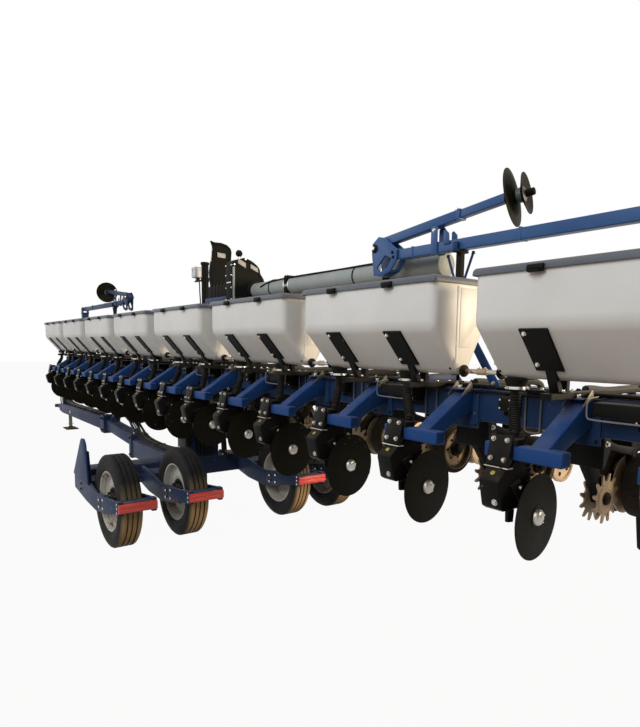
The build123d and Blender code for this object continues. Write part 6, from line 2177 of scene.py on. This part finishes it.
@dataclass
class Studio:
    """Camera, lamps, floor and world."""

    yaw: float = 0.655
    pitch: float = -0.114
    roll: float = 0.016
    focal: float = 560.0
    centre_u: float = 332.3
    centre_v: float = 411.8
    width: float = 640.0
    height: float = 727.0
    eye: Point = (-6565.0, 2802.0, 1979.0)

    def camera(self) -> None:
        """Places the camera at the photograph's eye point and angle."""
        data = bpy.data.cameras.new("photo_camera")
        camera = bpy.data.objects.new("photo_camera", data)
        bpy.context.scene.collection.objects.link(camera)
        ahead = Vector((math.cos(self.yaw) * math.cos(self.pitch), -math.sin(self.yaw) * math.cos(self.pitch),
                        math.sin(self.pitch)))
        right = ahead.cross(Vector((0, 0, 1))).normalized()
        up = right.cross(ahead)
        leaned_right = math.cos(self.roll) * right + math.sin(self.roll) * up
        leaned_up = -math.sin(self.roll) * right + math.cos(self.roll) * up
        turn = Matrix((leaned_right, leaned_up, -ahead)).transposed().to_4x4()
        turn.translation = placed(self.eye)
        camera.matrix_world = turn
        data.sensor_fit = "AUTO"
        data.sensor_width = SENSOR_WIDTH
        data.lens = self.focal / self.height * SENSOR_WIDTH
        data.shift_x = -(self.centre_u - self.width / 2) / self.height
        data.shift_y = (self.centre_v - self.height / 2) / self.height
        data.clip_end = 200.0
        bpy.context.scene.camera = camera

    def lamp(self, name: str, place: Point, aim: Point, power: float, size: float, colour: Colour) -> None:
        """Adds one soft lamp that looks at a point."""
        data = bpy.data.lights.new(name, "AREA")
        data.energy = power
        data.size = size
        data.color = colour
        lamp = bpy.data.objects.new(name, data)
        bpy.context.scene.collection.objects.link(lamp)
        lamp.location = place
        lamp.rotation_euler = (Vector(aim) - Vector(place)).to_track_quat("-Z", "Y").to_euler()

    def floor(self) -> None:
        """Lays the white floor, which keeps the object's shadow."""
        bpy.ops.object.select_all(action="DESELECT")
        bpy.ops.mesh.primitive_plane_add(size=120, location=(0, 0, -0.002))
        floor = bpy.context.object
        floor.name = "floor"
        nodes = Nodes(bpy.data.materials.new("floor_white"))
        seen = nodes.add("ShaderNodeLightPath", None, None, "Is Camera Ray")
        glossy = nodes.add("ShaderNodeLightPath", None, None, "Is Glossy Ray")
        matte = nodes.add("ShaderNodeBsdfDiffuse", None, {"Color": (0.20, 0.15, 0.10)})
        white = nodes.add("ShaderNodeEmission", None, {"Color": (1.0, 1.0, 1.0), "Strength": 1.0})
        mix = nodes.add("ShaderNodeMixShader", None, {0: (seen + glossy) * BACKDROP_WHITE, 1: matte, 2: white})
        nodes.add_output(mix)
        floor.data.materials.append(nodes.owner)

    def world(self) -> None:
        """Sets a pale even sky that shows as white."""
        world = bpy.data.worlds.new("pale_sky")
        bpy.context.scene.world = world
        nodes = Nodes(world)
        camera, glossy, through = (nodes.add("ShaderNodeLightPath", None, None, f"Is {kind} Ray")
                                   for kind in ("Camera", "Glossy", "Transmission"))
        most = {"operation": "MAXIMUM"}
        seen = nodes.add("ShaderNodeMath", most, {0: nodes.add("ShaderNodeMath", most, {0: camera, 1: glossy}),
                                                  1: through})
        strength = nodes.add("ShaderNodeMapRange", None, {"Value": seen, "To Min": SKY_LIGHT, "To Max": 1.0})
        back = nodes.add("ShaderNodeBackground", None, {"Color": (1.0, 1.0, 1.0), "Strength": strength})
        nodes.add_output(back, "ShaderNodeOutputWorld")

    def build(self) -> None:
        """Sets up the whole studio."""
        bpy.context.scene.view_settings.view_transform = "Standard"
        self.camera()
        self.world()
        self.floor()
        self.lamp("front_key", (-6.0, 11.0, 9.0), (-2.0, 0.0, 1.4), 890.0, 7.0, (0.94, 0.97, 1.0))
        self.lamp("low_sun", (-11.5, -6.0, 3.2), (-3.0, 0.0, 1.0), 980.0, 2.5, (1.0, 0.80, 0.56))
        self.lamp("far_fill", (9.0, 8.0, 7.0), (2.0, 0.0, 1.2), 260.0, 6.0, (0.95, 0.97, 1.0))


def main() -> None:
    """Builds and dresses the planter, then sets up the studio."""
    logging.basicConfig(level=logging.INFO, format="%(name)s: %(message)s")
    shop = Shop()
    FrameDresser().dress(frame["nodes"])
    for assembly in (Hoppers(), Lids(), RoadWheels(), Carriage(), Tongue(), Toolbar(), Openers(), Markers(),
                     Auger(), RowUnits()):
        assembly.build(shop)
    Studio().build()


if __name__ == "__main__":
    main()
